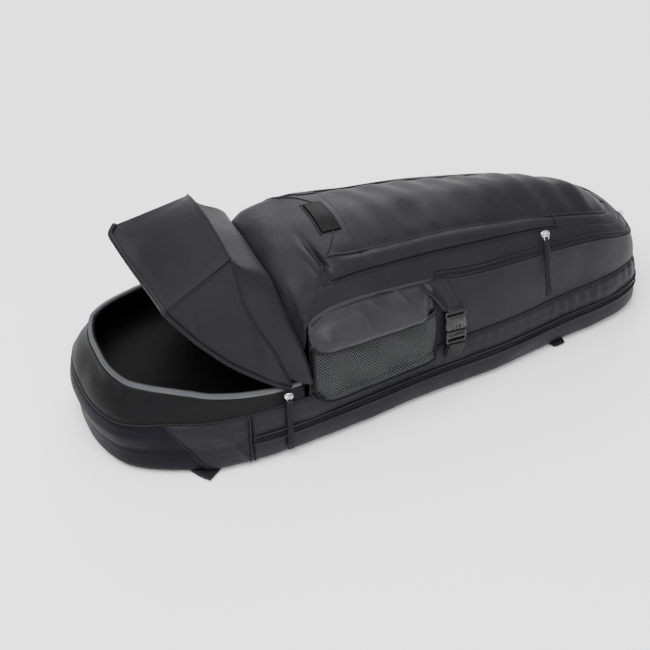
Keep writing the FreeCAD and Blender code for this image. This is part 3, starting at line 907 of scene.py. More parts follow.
def build_front_seams():
    """Corded seams, the pocket zip, the second zip and the V under the label."""
    start = np.linspace(-101, PANEL_START, 30)
    panel = np.linspace(PANEL_START, PANEL_END, 240)
    top = np.linspace(PANEL_END, 398, 150)
    rows = [piping(FRONT_PANEL.line(run, w), 1.5, 0.5) for run in (start, top) for w in (2.0, 4.0)]
    rows.append(piping(FRONT_PANEL.line(panel, 4.12), 1.4, 0.3))
    v_line = curve_through([(-66, 2.56), (-84, 2.25), (-101, 1.9), (-111, 1.45), (-121, 0.95),
                            (-132, 0.5), (-142, 0.08)], 14)
    for mirror in (0, 1):
        w = 6 - v_line[:, 1] if mirror else v_line[:, 1]
        rows.append(piping(FRONT_PANEL.line(v_line[:, 0], w), 1.3, 0.3))
    run = np.linspace(-110, PANEL_START, 40)
    rest = np.linspace(PANEL_START, PANEL_END + 3, 240)
    open_up = smooth(-112, -92, run)
    for side in (-0.11, 0.11):
        rows.append(piping(FRONT_PANEL.line(run, POCKET_ZIP_W + side * open_up), 1.2, 0.7))
    rows.append(piping(FRONT_PANEL.line(rest, POCKET_ZIP_W - 0.11), 1.2, 0.7))
    front_trim("front_seams", rows, None, LID_BLEND)
    near_top = [piping(FRONT_PANEL.line(panel, 2.0, 0.7), 1.5, 0.5),
                piping(FRONT_PANEL.line(rest, 1.15, 0.7), 1.2, 0.4)]
    front_trim("front_panel_seams", near_top, "pocket_panel")
    end_line = FRONT_PANEL.line(PANEL_END + 2, np.linspace(1.0, 2.0, 40), 0.4)
    front_trim("front_panel_end_seam", [piping(end_line, 1.3, 0.4)], "pocket_panel")
    lane = FRONT_PANEL.line(np.concatenate([run, rest[1:]]), POCKET_ZIP_W, 0.2)
    front_trim("pocket_zip_coil", [coil_row(lane, -0.744), coil_row(lane, 0.744)], None, LID_BLEND,
               COIL)


SECOND_ZIP_X = 40.0      # below this the pocket's cover and the strap hide the second zip


def second_zip_line(w, lift):
    """Points along the welt from the hinge on the near side round the top end to the far side."""
    q = np.concatenate([np.linspace(SECOND_ZIP_X, TOP_TURN_X, 260),
                        np.linspace(TOP_TURN_X + 1, 399.5, 110)])
    return [mirrored(part) for part in FRONT_PANEL.line(q, w, lift)]


def build_second_zip():
    upper = second_zip_line(0.085, 0.2)
    seam = second_zip_line(0.0, 0.4)
    lip = piping(second_zip_line(0.14, 0.4), 1.5, 0.6)
    piece("second_zip_upper", joined([tape_strip(upper, 4.5, 0.8, -0.3), lip]), NYLON,
          "second_lid", ["second_zip_upper_tape"])
    piece("second_zip_upper_coil", coil_row(seam, 0.806), COIL, "second_lid")
    rows = []
    for start_x, v, lift in ((SECOND_ZIP_X, 0.965, 0.2), (-140, 0.94, 0.3)):
        s = np.linspace(OUTLINE.s_at_x(start_x), 0.5, 420)
        rows.append([mirrored(part) for part in NEAR_WALL.line(s, v, lift)])
    lower, lip = rows
    piece("second_zip_lower", joined([tape_strip(lower, 4.5, 0.8, -0.3), piping(lip, 1.5, 0.6)]),
          NYLON, "front_body", ["second_zip_lower_tape"])
    piece("second_zip_lower_coil", coil_row(seam, -0.806), COIL, "front_body")


def build_label():
    """The blank sewn label at the front's base end, with its stitching."""
    x = np.linspace(-85, -56, 24)
    y = np.linspace(-33, 33, 60)
    w_here = np.linspace(2.2, 3.8, 200)
    across = FRONT_PANEL.at(-70.0, w_here)[:, 1]
    w = np.interp(y, across, w_here)
    border = ends(np.linspace(0, 1, 24), 0.08)[:, None] * ends(np.linspace(0, 1, 60), 0.03)[None, :]
    grid = FRONT_PANEL.at(x[:, None], w[None, :], 0.3 + 1.5 * border)
    piece("label", sheet_mesh(grid, 1.2), LABEL, None, ["blank_patch"], LID_BLEND)
    rows = []
    inset = 2.2
    xs = (x[0] + inset, x[-1] - inset)
    ws = np.interp((y[0] + inset, y[-1] - inset), across, w_here)
    for q in xs:
        rows.append(stitches(FRONT_PANEL.line(q, np.linspace(*ws, 40), 1.9)))
    for w_side in ws:
        rows.append(stitches(FRONT_PANEL.line(np.linspace(*xs, 20), w_side, 1.9)))
    piece("label_stitches", joined(rows), THREAD, None, (), LID_BLEND)
    groove = FRONT_PANEL.line(np.full(60, x[0] - 1.6), np.linspace(w[0] - 0.02, w[-1] + 0.02, 60), 0.0)
    piece("label_seam", piping(groove, 1.3, 0.2), TAPE, None, (), LID_BLEND)


build_lower_walls()
build_band()
build_main_zip()
build_upper_wall()
build_front_shell()
build_front_seams()
build_second_zip()
build_label()


# ---------------------------------------------------------------- shoe compartment
RIM_S = OUTLINE.s_at_x(-152.0)


def build_shoe_compartment():
    """The walls, lining and floor of the tray, and the ribbed tape round its mouth."""
    s = np.linspace(-RIM_S, RIM_S, 520)
    top = rim_height(s)
    v = np.linspace(0, 1, 22)
    z = (BAND_TOP + 1) * (1 - v)[None, :] + (top[:, None] - 5) * v[None, :]
    grid = wall(s[:, None], z, 0.6)
    grid = cloth(grid, 1.6, 0.8, 61, ends(v, 0.2)[None, :], (60, 60, 40), (24, 24, 40))
    piece("shoe_wall", sheet_mesh(grid, 1.6), DARK, "back_shell", ["shoe_wall"])

    z = BAND_TOP * (1 - v)[None, :] + (top[:, None] - 1) * v[None, :]
    inside = wall(s[:, None], z, -5.0)
    inside = cloth(inside, 1.8, 1.0, 63, ends(v, 0.2)[None, :], (50, 50, 40), (22, 22, 60))
    piece("shoe_lining", sheet_mesh(inside, 1.0), LINING, "back_shell")

    line = wall(s, top - 2.5, -1.5)
    up = upright(len(s))
    cap = [(-3.0, -5), (-2.8, 1.2), (-1.6, 2.4), (0, 2.8), (1.6, 2.4), (2.8, 1.2), (3.0, -5)]
    tape = sweep(line, up, cap)
    rib_verts, rib_faces = box_shape(1.3, 6.2, 1.0, 2.3, 0.7)
    ribs = repeat_along(line, up, 2.6, rib_verts, rib_faces)
    piece("rim_tape", joined([tape, ribs]), RIM, "back_shell", ["rim_zip_tape"])

    y = np.linspace(-1, 1, 60)
    x = np.concatenate([np.linspace(-386, -340, 20), np.linspace(-335, -153, 40)])
    half = np.interp(x, *np.array(PLAN[:10]).T) - 15
    grid = np.stack([np.tile(x[:, None], (1, 60)), half[:, None] * y[None, :],
                     np.full((len(x), 60), BAND_TOP)], axis=-1)
    grid[..., 2] += value_noise(grid, (60, 60, 60), 65) * 1.2
    piece("shoe_floor", sheet_mesh(grid, 3.0, None, (0, 0, -500)), LINING, "back_shell",
          ["shoe_floor"])

    y = np.linspace(-134, 134, 80)
    height = np.interp(np.abs(y), [0, 60, 100, 126, 134], [198, 194, 174, 142, 104])
    v = np.linspace(0, 1, 40)
    grid = np.stack([np.full((80, 40), SHOE_WALL_X), np.tile(y[:, None], (1, 40)),
                     BAND_TOP * (1 - v)[None, :] + height[:, None] * v[None, :]], axis=-1)
    grid = push(grid, value_noise(grid, (50, 45, 45), 67) * 2.0 * ends(v)[None, :])
    piece("shoe_end_wall", sheet_mesh(grid, 1.5), LINING, "back_shell",
          ["shoe_end_wall"])


# ---------------------------------------------------------------- the open flap
FLAP_BLEND = ("back_shell", "shoe_flap", (-165, 0, 200), (-190.5, 0, 190.3))


def build_flap():
    """End panel, gussets, rounded band into the valley, and the corded zip edge."""
    count = 120
    middle = FLAP_MIDDLE
    parts = {}
    for name, low, high in (("far_gusset", FAR_ZIP, FAR_SEAM), ("end_panel", END_ZIP, END_SEAM),
                            ("near_gusset", NEAR_ZIP, NEAR_SEAM)):
        a = evenly(curve_through(low), count)
        b = evenly(curve_through(high), count)
        grid = between(a, b, 56)
        v = np.linspace(0, 1, 56)
        t = np.linspace(0, 1, count)
        inner = ends(v, 0.15)[None, :] * ends(t, 0.12)[:, None]
        if name == "end_panel":
            amount = -2.0 * inner + value_noise(grid, (110, 110, 110), 71) * 1.6 * inner
        else:
            sag = np.sin(v * math.pi)[None, :] * np.sin(t * math.pi)[:, None]
            drape = value_noise(grid * np.array([1.0, 0.0, 0.12]), (24, 24, 24), 73)
            amount = -5.0 * sag + (drape * 3.4 + value_noise(grid, (40, 40, 40), 74) * 1.4) * inner
        grid = push(grid, amount, middle)
        parts[name] = Surface(t, v, grid, middle)
    piece("flap_end_panel", sheet_mesh(parts["end_panel"].grid, 4.5, None, middle), NYLON,
          "shoe_flap", ["flap_end_panel"])
    gussets = [sheet_mesh(parts[key].grid, 2.4, None, middle) for key in ("far_gusset", "near_gusset")]
    piece("flap_gussets", joined(gussets), NYLON, "shoe_flap", ["flap_gussets"])

    seam = np.vstack([surface.grid[:, -1] for surface in parts.values()])
    seam = evenly(curve_through(seam[::8], 8), 420)
    valley = evenly(curve_through(VALLEY), 420)
    grid = between(seam, valley, 46)
    side = smooth(30, 125, np.abs(grid[..., 1]))
    v = np.linspace(0, 1, 46)
    top = curve_smooth(np.interp(v, [0, 0.12, 0.25, 0.42, 0.62, 0.8, 0.92, 1],
                                 [0, -5, -8, 1, 15, 17, 10, 0]), 12)
    flank_rise = curve_smooth(np.interp(v, [0, 0.08, 0.25, 0.5, 0.75, 0.92, 1],
                                        [0, 2, 7, 13, 15, 9, 0]), 8)
    amount = top[None, :] * (1 - side) + flank_rise[None, :] * side
    grid = push(grid, amount, FLAP_BAND_MIDDLE)
    t = np.linspace(0, 1, 420)
    wrinkle = value_noise(grid, (60, 60, 60), 75) * 2.2 + value_noise(grid, (24, 30, 24), 76) * 0.5
    grid = push(grid, wrinkle * (ends(v, 0.15)[None, :] * ends(t, 0.04)[:, None]), FLAP_BAND_MIDDLE)
    piece("flap_band", sheet_mesh(grid, 2.0, None, FLAP_BAND_MIDDLE), NYLON, None,
          ["flap_top", "flap_fold"], FLAP_BLEND)

    edge = np.vstack([surface.grid[:, 0] for surface in parts.values()])
    out = np.vstack([surface.normals[:, 0] for surface in parts.values()])
    keep = np.concatenate([[True], np.linalg.norm(np.diff(edge, axis=0), axis=1) > 0.2])
    edge, out = edge[keep], out[keep]
    welt = [sweep(edge, out, round_section(3.6, 0.85, 10, 0.4)),
            sweep(edge, out, round_section(3.1, 0.8, 10, -5.2))]
    coil_verts, coil_faces = box_shape(1.5, 2.6, 1.8, -9.2)
    piece("flap_zip_edge", joined(welt), TAPE, "shoe_flap", ["flap_zip_tape"])
    piece("flap_zip_coil", repeat_along(edge, out, 2.5, coil_verts, coil_faces), COIL, "shoe_flap")
    creases = []
    for key, row in (("near_gusset", 0), ("far_gusset", -1)):
        surface = parts[key]
        section = round_section(1.1, 0.8, 8, 0.5)
        creases.append(sweep(surface.grid[row], surface.normals[row], section))
    for surface in parts.values():
        section = round_section(1.6, 0.8, 10, 0.4)
        creases.append(sweep(surface.grid[:, -1], surface.normals[:, -1], section))
    piece("flap_seams", joined(creases), TAPE, "shoe_flap")
    lining = [sheet_mesh(surface.grid - surface.normals * 5.2, 0.8, None, middle)
              for surface in parts.values()]
    piece("flap_lining", joined(lining), LINING, "shoe_flap")


# ---------------------------------------------------------------- side pocket
POCKET_X = (-143.0, 37.0)


def pocket_low(x):
    return 66.0 + 22.0 * smooth(-118, -143, x)


def pocket_high(x):
    return np.interp(x, [-143, 37], [147, 141])


def pocket_out(x, z):
    """How far the pocket stands out from the wall behind it."""
    inner = smooth(POCKET_X[0] - 2, POCKET_X[0] + 26, x) * smooth(POCKET_X[1] + 3, POCKET_X[1] - 20, x)
    roll = 2.2 * np.sin((x + 0.9 * z) * 2 * math.pi / 64.0) * smooth(66, 84, z) * smooth(146, 132, z)
    return 3.4 + (3.4 + 7.6 * smooth(66, 116, z) + roll) * (0.25 + 0.75 * inner)


def pocket_face(x, z, lift=0.0):
    """On the near wall above the band's seam, and on the band below it."""
    x, z = np.broadcast_arrays(np.asarray(x, float), np.asarray(z, float))
    reach = pocket_out(x, z) + lift
    high = flank(x, np.maximum(z, BAND_TOP + 1), reach)
    low = wall(OUTLINE.s_at_x(x), np.minimum(z, BAND_TOP + 1), reach)
    return lerp(low, high, smooth(BAND_TOP - 1, BAND_TOP + 6, z)[..., None])


def near_normals(points):
    out = np.tile([-0.02, -1.0, 0.12], (len(points), 1))
    return out / np.linalg.norm(out, axis=1, keepdims=True)


def build_side_pocket():
    """Net of crossed threads, its hem and edges, and the fabric that bulges over its mouth."""
    strands = []
    pitch = 4.4
    thread = round_section(0.46, 0.8, 6, 0.0)
    for slope in (1.0, -1.0):
        for c in np.arange(-260, 260, pitch):
            x = np.arange(POCKET_X[0], POCKET_X[1], 1.65)
            z = 110 + slope * (x - c)
            wave = 0.45 * np.sin(2 * math.pi * (x - c) / pitch)
            inside = (z > pocket_low(x)) & (z < pocket_high(x))
            if inside.sum() < 3:
                continue
            path = pocket_face(x[inside], (z + wave)[inside], 0.4 * slope)
            strands.append(sweep(path, near_normals(path), thread))
    piece("pocket_net", joined(strands), NET_PAINTED_GLINT, "front_body", ["side_pocket_mesh"])
    x = np.linspace(POCKET_X[0] + 1, POCKET_X[1] - 1, 120)
    v = np.linspace(0, 1, 40)
    z = pocket_low(x)[:, None] * (1 - v)[None, :] + pocket_high(x)[:, None] * v[None, :]
    # A near-black sheet just behind the net: painted shade, standing in for the shadowed inside of the
    # pocket seen through the holes.
    behind = pocket_face(np.tile(x[:, None], (1, 40)), z, -2.6)
    piece("pocket_shade_sheet", sheet_mesh(behind, 0.8), LINING, "front_body")

    x = np.linspace(POCKET_X[0], POCKET_X[1], 120)
    hem = pocket_face(x, pocket_high(x) - 0.5, 0.6)
    piece("pocket_hem", tape_strip((hem, near_normals(hem)), 6.0, 1.4, -0.4), WEBBING,
          "front_body", ["side_pocket_hem"])
    below = pocket_face(x, pocket_high(x) - 3.6, 2.1)
    above = pocket_face(x, pocket_high(x) + 2.6, 2.1)
    trim = [stitches((line, near_normals(line))) for line in (below, above)]
    piece("pocket_stitches", joined(trim), THREAD, "front_body")

    corner = curve_through([(-143, 147), (-144, 122), (-141, 92), (-132, 76), (-118, 67), (-60, 66),
                            (0, 65.5), (30, 66), (37, 72), (38, 110), (37, 141)], 14)
    border = pocket_face(corner[:, 0], corner[:, 1], 0.4)
    piece("pocket_edges", joined([tape_strip((border, near_normals(border)), 4.6, 1.3, -0.5),
                                  piping((border, near_normals(border)), 1.2, 0.6)]),
          DARK, "front_body", ["side_pocket_edges"])

    rows, count = 40, 170
    x = np.linspace(-146, 34, count)
    v = np.linspace(0, 1, rows)
    _, welt_z = welt_of(x)
    low = pocket_high(x) - 5.0
    z = (welt_z - 1.5)[:, None] * (1 - v)[None, :] + low[:, None] * v[None, :]
    spread = np.tile(x[:, None], (1, rows))
    ends_in = 0.25 + 0.75 * (smooth(-146, -120, x) * smooth(34, 10, x))[:, None]
    swell = np.interp(v, [0, 0.10, 0.22, 0.40, 0.62, 0.86, 1], [0.6, 1.0, 2.6, 12.0, 19.0, 22.5, 17.0])
    swell = curve_smooth(swell)[None, :] * ends_in
    grid = flank(spread, z, swell)
    strain = (folds(grid + np.array([0.9, 0, 0]) * grid[..., 2:], (34, 34, 46), 81) - 0.35) * 2.4
    loose = value_noise(grid, (48, 48, 30), 82) * 2.2 + value_noise(grid, (16, 16, 14), 83) * 0.6
    calm = smooth(0, 0.16, v) * smooth(1, 0.6, v)
    grid = push(grid, (strain + loose) * calm[None, :] * smooth(0, 0.06, (x + 146) / 180)[:, None])
    # The cover takes the lighter nylon copy, whose colour is painted light.
    piece("pocket_cover", sheet_mesh(grid, 1.8), LIT_NYLON, "front_body",
          ["side_pocket_cover"])
    edge = grid[:, -1]
    piece("pocket_cover_seam", piping((edge, near_normals(edge)), 1.7, 0.2), TAPE, "front_body")


# ---------------------------------------------------------------- strap and buckle
BUCKLE_AT = np.array([66.0, -112.0, 132.0])
BUCKLE_TILT = math.radians(8)
BUCKLE_DOWN = np.array([0, -math.sin(BUCKLE_TILT), -math.cos(BUCKLE_TILT)])
BUCKLE_OUT = np.array([0, -math.cos(BUCKLE_TILT), math.sin(BUCKLE_TILT)])


def on_buckle(mesh):
    """From the buckle's own axes: x across, y up along the strap, z out."""
    return placed(mesh, BUCKLE_AT, (1, 0, 0), -BUCKLE_DOWN, BUCKLE_OUT)


def build_strap():
    """Fabric yoke, side-release buckle in two halves, and the webbing below it."""
    rows, count = 34, 40
    v = np.linspace(0, 1, rows)
    t = np.linspace(0, 1, count)
    left = np.interp(v, [0, 0.5, 1], [12, 34, 51])
    right = np.interp(v, [0, 0.5, 1], [54, 66, 79])
    top_z = 182.0
    x = left[None, :] * (1 - t)[:, None] + right[None, :] * t[:, None]
    z = top_z + (131.5 - top_z) * v[None, :] + 0 * x
    lift = np.interp(v, [0, 0.1, 0.5, 0.9, 1], [0.8, 2.2, 3.6, 5.2, 4.2])[None, :]
    round_in = 1 - (1 - ends(t, 0.06))[:, None] * 0.6
    grid = flank(x, z, lift * round_in)
    tug = value_noise(np.stack([x, x * 0, z * 0.3], axis=-1), (9, 9, 18), 91) * 0.9
    curl = 3.2 * bump(t, 0.1, 0.09) - 2.4 * bump(t, 0.3, 0.1)
    tug = tug * ends(t, 0.15)[:, None] + curl[:, None]
    grid = push(grid, tug * ends(v, 0.2)[None, :])
    piece("strap_yoke", sheet_mesh(grid, 2.4), NYLON, "front_body", ["strap_yoke"])
    yoke = Surface(t, v, grid)
    rows_of = []
    for side in (0.07, 0.93, 0.14, 0.86):
        rows_of.append(stitches(yoke.line(side, np.linspace(0.08, 0.95, 40), 0.0)))
    for level in (0.80, 0.86):
        rows_of.append(stitches(yoke.line(np.linspace(0.1, 0.9, 30), level, 0.0)))
    piece("yoke_stitches", joined(rows_of), THREAD, "front_body")

    outer = rounded_rectangle(30, 27, 5, 6, (0, -13.5))
    inner = rounded_rectangle(24.5, 4.2, 1.5, 6, (0, -4.6))
    bar = frame_plate(rounded_rectangle(30, 9.5, 3.5, 6, (0, -4.75)), inner, -3.4, 3.0, 1.0)
    deck = plate(rounded_rectangle(28.5, 19.0, 3.0, 6, (0, -18.0)), -4.2, 4.2, 1.4)
    crown = plate(rounded_rectangle(20, 13.5, 4.0, 6, (0, -17.0)), 3.6, 5.4, 1.0)
    lugs = [plate(rounded_rectangle(4.6, 11.0, 1.8, 5, (side * 12.8, -21.0)), -3.2, 3.6, 0.9)
            for side in (-1, 1)]
    marks = [plate(rounded_rectangle(1.5, 6.5, 0.7, 4, (x_mark, -22.5)), 5.0, 5.9, 0.3)
             for x_mark in (-5, 0, 5)]
    piece("buckle_socket", on_buckle(joined([bar, deck, crown] + lugs + marks)), PLASTIC,
          "front_body", ["buckle_socket"])

    body = plate(rounded_rectangle(29.0, 9.0, 2.5, 6, (0, -33.4)), -4.0, 4.0, 1.3)
    loop = frame_plate(rounded_rectangle(29.0, 12.0, 3.0, 6, (0, -41.0)),
                       rounded_rectangle(24.0, 4.4, 1.5, 6, (0, -42.0)), -3.0, 2.8, 0.9)
    prongs = [plate(rounded_rectangle(2.8, 17.0, 1.2, 4, (x_prong, -21.5)), -1.5, 1.5, 0.5)
              for x_prong in (-9.5, 0, 9.5)]
    ridges = [plate(rounded_rectangle(24.0, 1.0, 0.45, 4, (0, y_ridge)), 3.6, 4.8, 0.3)
              for y_ridge in (-31.4, -33.4, -35.4)]
    piece("buckle_plug", on_buckle(joined([body, loop] + prongs + ridges)), PLASTIC, "buckle_plug",
          ["buckle_plug"])

    path = curve_through([(66, -119.3, 90.0), (66, -119.6, 86), (65.5, -119.0, 80),
                          (64, -116.0, 70), (62.5, -113.8, 60)], 14)
    web = tape_strip((path, near_normals(path)), 23.0, 1.6, -0.8)
    tail = path[18:] + np.array([1.5, -2.3, 0.0])
    loose = tape_strip((tail, near_normals(tail)), 22.0, 1.4, -0.7)
    rib_verts, rib_faces = box_shape(1.2, 19.5, 0.35, 0.8)
    ribs = repeat_along(path, near_normals(path), 2.2, rib_verts, rib_faces)
    piece("compression_webbing", joined([web, ribs, loose]), WEBBING, None,
          ["compression_webbing"], ("front_body", "buckle_plug", (66, -114, 62), (66, -119, 86)))
    wrap = curve_through([(66, -104.0, 137), (66, -109.5, 135.5), (66, -113.6, 132.5),
                          (66, -113.8, 128), (66, -110, 126.5), (66, -106, 129)], 10)
    across = np.tile([1.0, 0.0, 0.0], (len(wrap), 1))
    over = np.cross(np.gradient(wrap, axis=0), across)
    over /= np.linalg.norm(over, axis=1, keepdims=True)
    piece("yoke_loop", sweep(wrap, over, bar_section(23.5, 1.6, -0.8)), NYLON, "front_body")


# ---------------------------------------------------------------- sliders and puller tapes
def slider_mesh():
    """Body, bridge and ring; x along the zip, y across it, z out."""
    base = plate(rounded_rectangle(11.5, 8.5, 3.2), 0.6, 2.0, 0.4)
    top = plate(rounded_rectangle(11.0, 7.6, 3.0), 2.8, 4.4, 0.5)
    neck = plate(rounded_rectangle(3.0, 3.0, 1.0), 1.8, 3.2, 0.3)
    arch = curve_through([(-4.2, 0, 4.0), (-3.4, 0, 6.3), (0, 0, 7.3), (3.4, 0, 6.3), (4.2, 0, 4.0)], 8)
    out = arch - np.array([0, 0, 3.0])
    bridge = sweep(arch, out, bar_section(2.6, 1.3, -0.6))
    return joined([base, top, neck, bridge])


def ring_mesh(start, down, width, thick=0.85, length=9.0, half=3.2):
    """A wire loop that hangs from a bridge."""
    turn = np.linspace(0, 2 * math.pi, 29)[:-1]
    middle = start + down * (length / 2 - 1.0)
    path = middle + np.outer(np.cos(turn) * length / 2, down) + np.outer(np.sin(turn) * half, width)
    normal = np.tile(np.cross(down, width), (len(path), 1))
    return sweep(path, normal, round_section(thick, 1.0, 8), closed=True)


def build_sliders():
    rows = (("shoe", (-178, -145.5, 97), (0, -4, -84), (1, 0, 0), (0, -0.35, 0.94)),
            ("pocket", (210, -83, 189), (0, -22, -83), (1, 0, 0), (0, -0.72, 0.69)),
            ("second", (391, 14, 110), (11, 0, -56), (0, 1, 0), (0.8, 0, 0.6)),
            ("main", (403.5, 14, 40), (0, 0, -33), (0, 1, 0), (1, 0, 0)))
    for name, top, fall, width, out in rows:
        top, fall = np.array(top, float), np.array(fall, float)
        width, out = np.array(width, float), np.array(out, float)
        reach = np.linalg.norm(fall)
        down = fall / reach
        across = np.cross(out, width)
        seat = top + out * 0.2 + np.array([0, 0, 3.5]) - out * 5.5
        piece(name + "_slider", placed(slider_mesh(), seat, width, across, out), METAL,
              name + "_slider", [name + "_slider"])
        face = np.cross(width, down)
        face = face if face @ out > 0 else -face
        ring = ring_mesh(top + np.array([0, 0, 1.0]), down, width)
        count = 60
        t = np.linspace(0, 1, count)
        start = top + down * 5.0
        path = start + np.outer(t, down * (reach - 6.0)) + np.outer(np.sin(t * 9.0) * 0.35, face)
        tape = sweep(path, np.tile(face, (count, 1)), bar_section(7.8, 2.0, -1.0))
        ribs_v, ribs_f = box_shape(1.1, 6.2, 0.4, 0.9)
        ribs = repeat_along(path[4:-8], np.tile(face, (count - 12, 1)), 2.0, ribs_v, ribs_f)
        tip = plate(rounded_rectangle(9.2, 12.0, 2.4), -1.6, 1.7, 0.7)
        tip = placed(tip, start + down * (reach - 11.5), width, -down, face)
        collar = plate(rounded_rectangle(8.8, 5.0, 1.2), -1.5, 1.6, 0.5)
        collar = placed(collar, start + down * 3.0, width, -down, face)
        piece(name + "_puller", joined([tape, ribs, tip, collar]), WEBBING, name + "_puller",
              [name + "_puller"])
        piece(name + "_puller_ring", ring, METAL, name + "_puller")


# ---------------------------------------------------------------- back
def padded_bar(path, half_widths, low, high, sides=24):
    """A stuffed strip along a path in plan, rounded at its edges and its ends."""
    path = np.array(path, float)
    half = np.asarray(half_widths, float)
    tangent = np.gradient(path, axis=0)
    tangent /= np.linalg.norm(tangent, axis=1, keepdims=True)
    side = np.column_stack([-tangent[:, 1], tangent[:, 0]])
    turn = np.arange(sides) * 2 * math.pi / sides
    across = np.sign(np.cos(turn)) * np.abs(np.cos(turn)) ** 0.55
    rise = np.sign(np.sin(turn)) * np.abs(np.sin(turn)) ** 0.75
    t = np.linspace(0, 1, len(path))
    tall = np.sqrt(np.clip(np.minimum(t, 1 - t) * 14, 0.02, 1))
    middle, reach = (low + high) / 2, (high - low) / 2
    verts = []
    for k in range(len(path)):
        flat = path[k] + np.outer(across * half[k] * tall[k], side[k])
        verts.append(np.column_stack([flat, middle + rise * reach * tall[k]]))
    faces = []
    for i in range(len(path) - 1):
        for a in range(sides):
            b = (a + 1) % sides
            faces.append((i * sides + a, i * sides + b, (i + 1) * sides + b, (i + 1) * sides + a))
    faces.append(tuple(range(sides))[::-1])
    faces.append(tuple((len(path) - 1) * sides + a for a in range(sides)))
    return np.vstack(verts), faces


def straight(start, end, count=60):
    return np.column_stack([np.linspace(a, b, count) for a, b in zip(start, end)])


def plan_grid(inset, z, rows=40, count=360):
    """A flat sheet inside the outline, from its centre line to its edge all round."""
    s = np.linspace(0, 1, count)
    xy, n = OUTLINE.at(s)
    edge = xy - n * inset
    spine = np.column_stack([np.clip(edge[:, 0], -330, 330), np.zeros(count)])
    r = np.linspace(0, 1, rows)
    flat = spine[:, None] * (1 - r)[None, :, None] + edge[:, None] * r[None, :, None]
    return np.concatenate([flat, np.full((count, rows, 1), float(z))], axis=2)


def build_back():
    """Back panel, its pads, shoulder straps, haul loop and tabs."""
    grid = plan_grid(9.0, 7.2)
    quilt = (folds(grid, (60, 60, 60), 101) - 0.4) * 0.6
    grid[..., 2] += quilt * 0.5
    piece("back_panel", sheet_mesh(grid, 6.0, None, (0, 0, 500)), SPACER, "back_shell",
          ["back_panel"])
    pads = [padded_bar(straight((-342, -72), (-342, 72)), np.full(60, 30.0), 0.1, 7.6),
            padded_bar(straight((-195, 108), (60, 94)), np.linspace(16, 10, 60), 0.1, 7.6),
            padded_bar(straight((-195, -108), (60, -94)), np.linspace(16, 10, 60), 0.1, 7.6),
            padded_bar(straight((362, -30), (362, 30)), np.full(60, 17.5), 0.1, 7.6),
            padded_bar(straight((-290, 0), (205, 0), 120), np.full(120, 9.0), 0.1, 7.6)]
    pad = piece("back_pads", joined(pads), SPACER, "back_shell", ["back_pads"])

    x = np.linspace(231.5, -119.5, 110)
    outer = np.interp(x, [-120, 0, 120, 232], [64, 80, 76, 72])
    inner = np.interp(x, [-120, 0, 120, 232], [32, 24, 18, 20])
    anchors, tabs = [], []
    for side, flip in (("left", 1), ("right", -1)):
        path = np.column_stack([x, flip * (outer + inner) / 2])
        strap = piece(side + "_strap_pad", padded_bar(path, (outer - inner) / 2, 0.3, 6.2),
                      SPACER, side + "_strap", [side + "_strap_pad"])
        edge = [np.column_stack([x, flip * (y_edge + inward), np.full(len(x), 3.2)])
                for y_edge, inward in ((outer, -0.6), (inner, 0.6))]
        section = round_section(1.3, 1.6, 8)
        binding = [sweep(line[3:-3], upright(len(x) - 6), section) for line in edge]
        piece(side + "_strap_binding", joined(binding), TAPE, side + "_strap")
        run = curve_through([(-146, flip * 48, 3.0), (-190, flip * 70, 3.2), (-240, flip * 96, 3.1),
                             (-286, flip * 119, 3.3)], 20)
        webbing = sweep(run, upright(len(run)), bar_section(24.0, 1.7, -0.8))
        piece(side + "_strap_webbing", webbing, WEBBING, None,
              [side + "_strap_webbing"],
              ("back_shell", side + "_strap", (-268, 0, 3), (-158, 0, 3)))
        anchor = straight((233, flip * 45), (262, flip * 39), 30)
        anchors.append(padded_bar(anchor, np.linspace(27, 23, 30), 1.0, 6.6))
        lower = straight((-270, flip * 121), (-300, flip * 138), 30)
        tabs.append(padded_bar(lower, np.linspace(15, 19, 30), 1.4, 5.8))
        small = straight((241, flip * 76), (243, flip * 93), 20)
        tabs.append(padded_bar(small, np.linspace(13, 9, 20), 1.6, 5.4))
    piece("strap_anchors", joined(anchors), NYLON, "back_shell", ["strap_top_anchors"])
    piece("strap_tabs", joined(tabs), NYLON, "back_shell", ["strap_lower_tabs"])

    loop = curve_through([(272, 35, 2.6), (300, 35, 2.4), (318, 28, 2.4), (322, 12, 2.4),
                          (322, -12, 2.4), (318, -28, 2.4), (300, -35, 2.4), (272, -35, 2.6)], 14)
    webbing = sweep(loop, upright(len(loop)), bar_section(18.0, 2.6, -1.2))
    piece("haul_loop", webbing, WEBBING, "haul_loop", ["haul_loop"])


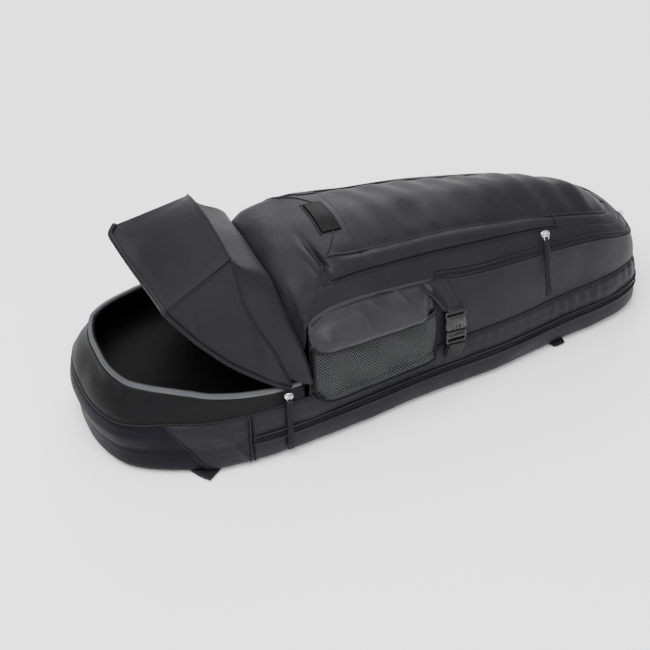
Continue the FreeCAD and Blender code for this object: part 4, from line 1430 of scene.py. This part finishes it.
def build_inner_sheets():
    """The divider over the main compartment and the wall that shuts off the front one."""
    x = np.linspace(-145, 386, 130)
    half = np.interp(x, *np.array(PLAN).T) - 15
    y = np.linspace(-1, 1, 40)
    grid = np.stack([np.tile(x[:, None], (1, 40)), np.maximum(half, 2)[:, None] * y[None, :],
                     np.full((len(x), 40), BAND_TOP - 1)], axis=-1)
    grid[..., 2] += value_noise(grid, (70, 70, 70), 111) * 1.0
    divider = piece("divider", sheet_mesh(grid, 1.0, None, (0, 0, -500)), LINING, "front_body",
                    ["divider"])
    y = np.linspace(-115, 115, 60)
    v = np.linspace(0, 1, 30)
    grid = np.stack([np.full((60, 30), VALLEY_WALL_X), np.tile(y[:, None], (1, 30)),
                     np.tile((79 + 86 * v)[None, :], (60, 1))], axis=-1)
    grid = push(grid, value_noise(grid, (50, 50, 50), 113) * 1.6)
    piece("valley_wall", sheet_mesh(grid, 1.2), LINING, "front_body", ["valley_wall"])


def finish_cad_nodes():
    """The strap adjusters keep their own shape and take the plastic."""
    for name in ("left_strap_adjuster", "right_strap_adjuster"):
        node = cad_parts[name]
        node.data.materials.clear()
        node.data.materials.append(PLASTIC)


build_shoe_compartment()
build_flap()
build_side_pocket()
build_strap()
build_sliders()
build_back()
build_inner_sheets()
finish_cad_nodes()


# ---------------------------------------------------------------- camera, light and floor
def look(name, kind, place, target, **settings):
    data = (bpy.data.cameras if kind == "CAMERA" else bpy.data.lights).new(
        name, **({} if kind == "CAMERA" else {"type": kind}))
    for key, value in settings.items():
        setattr(data, key, value)
    obj = bpy.data.objects.new(name, data)
    bpy.context.collection.objects.link(obj)
    obj.location = place
    obj.rotation_euler = (Vector(target) - Vector(place)).to_track_quat("-Z", "Y").to_euler()
    return obj


def build_stage():
    target = Vector((-0.0816, -0.0343, 0.098))
    elevation, heading, distance = math.radians(38.5), math.radians(23.5), 2.205
    forward = Vector((math.sin(heading) * math.cos(elevation),
                      math.cos(heading) * math.cos(elevation), -math.sin(elevation)))
    camera = look("camera", "CAMERA", target - forward * distance, target, lens=94.15,
                  sensor_width=36.0)
    bpy.context.scene.camera = camera
    look("key", "AREA", (-0.9, -0.5, 2.2), (0, 0, 0.1), energy=105, size=1.6)
    look("fill", "AREA", (0.4, -2.4, 1.0), (0, 0, 0.1), energy=30, size=2.2)
    look("rim", "AREA", (0.9, 1.9, 1.6), (0, 0, 0.15), energy=55, size=1.6)
    world = bpy.data.worlds.new("studio")
    bpy.context.scene.world = world
    world.use_nodes = True
    world.node_tree.nodes["Background"].inputs["Color"].default_value = (1.0, 1.0, 1.0, 1)
    world.node_tree.nodes["Background"].inputs["Strength"].default_value = 0.95
    corners = [(-6000, -6000, 0), (6000, -6000, 0), (6000, 6000, 0), (-6000, 6000, 0)]
    floor_paint = material("pale_floor", (0.94, 0.94, 0.94), 0.9)
    floor = new_object("floor", corners, [(0, 1, 2, 3)], floor_paint)


build_stage()
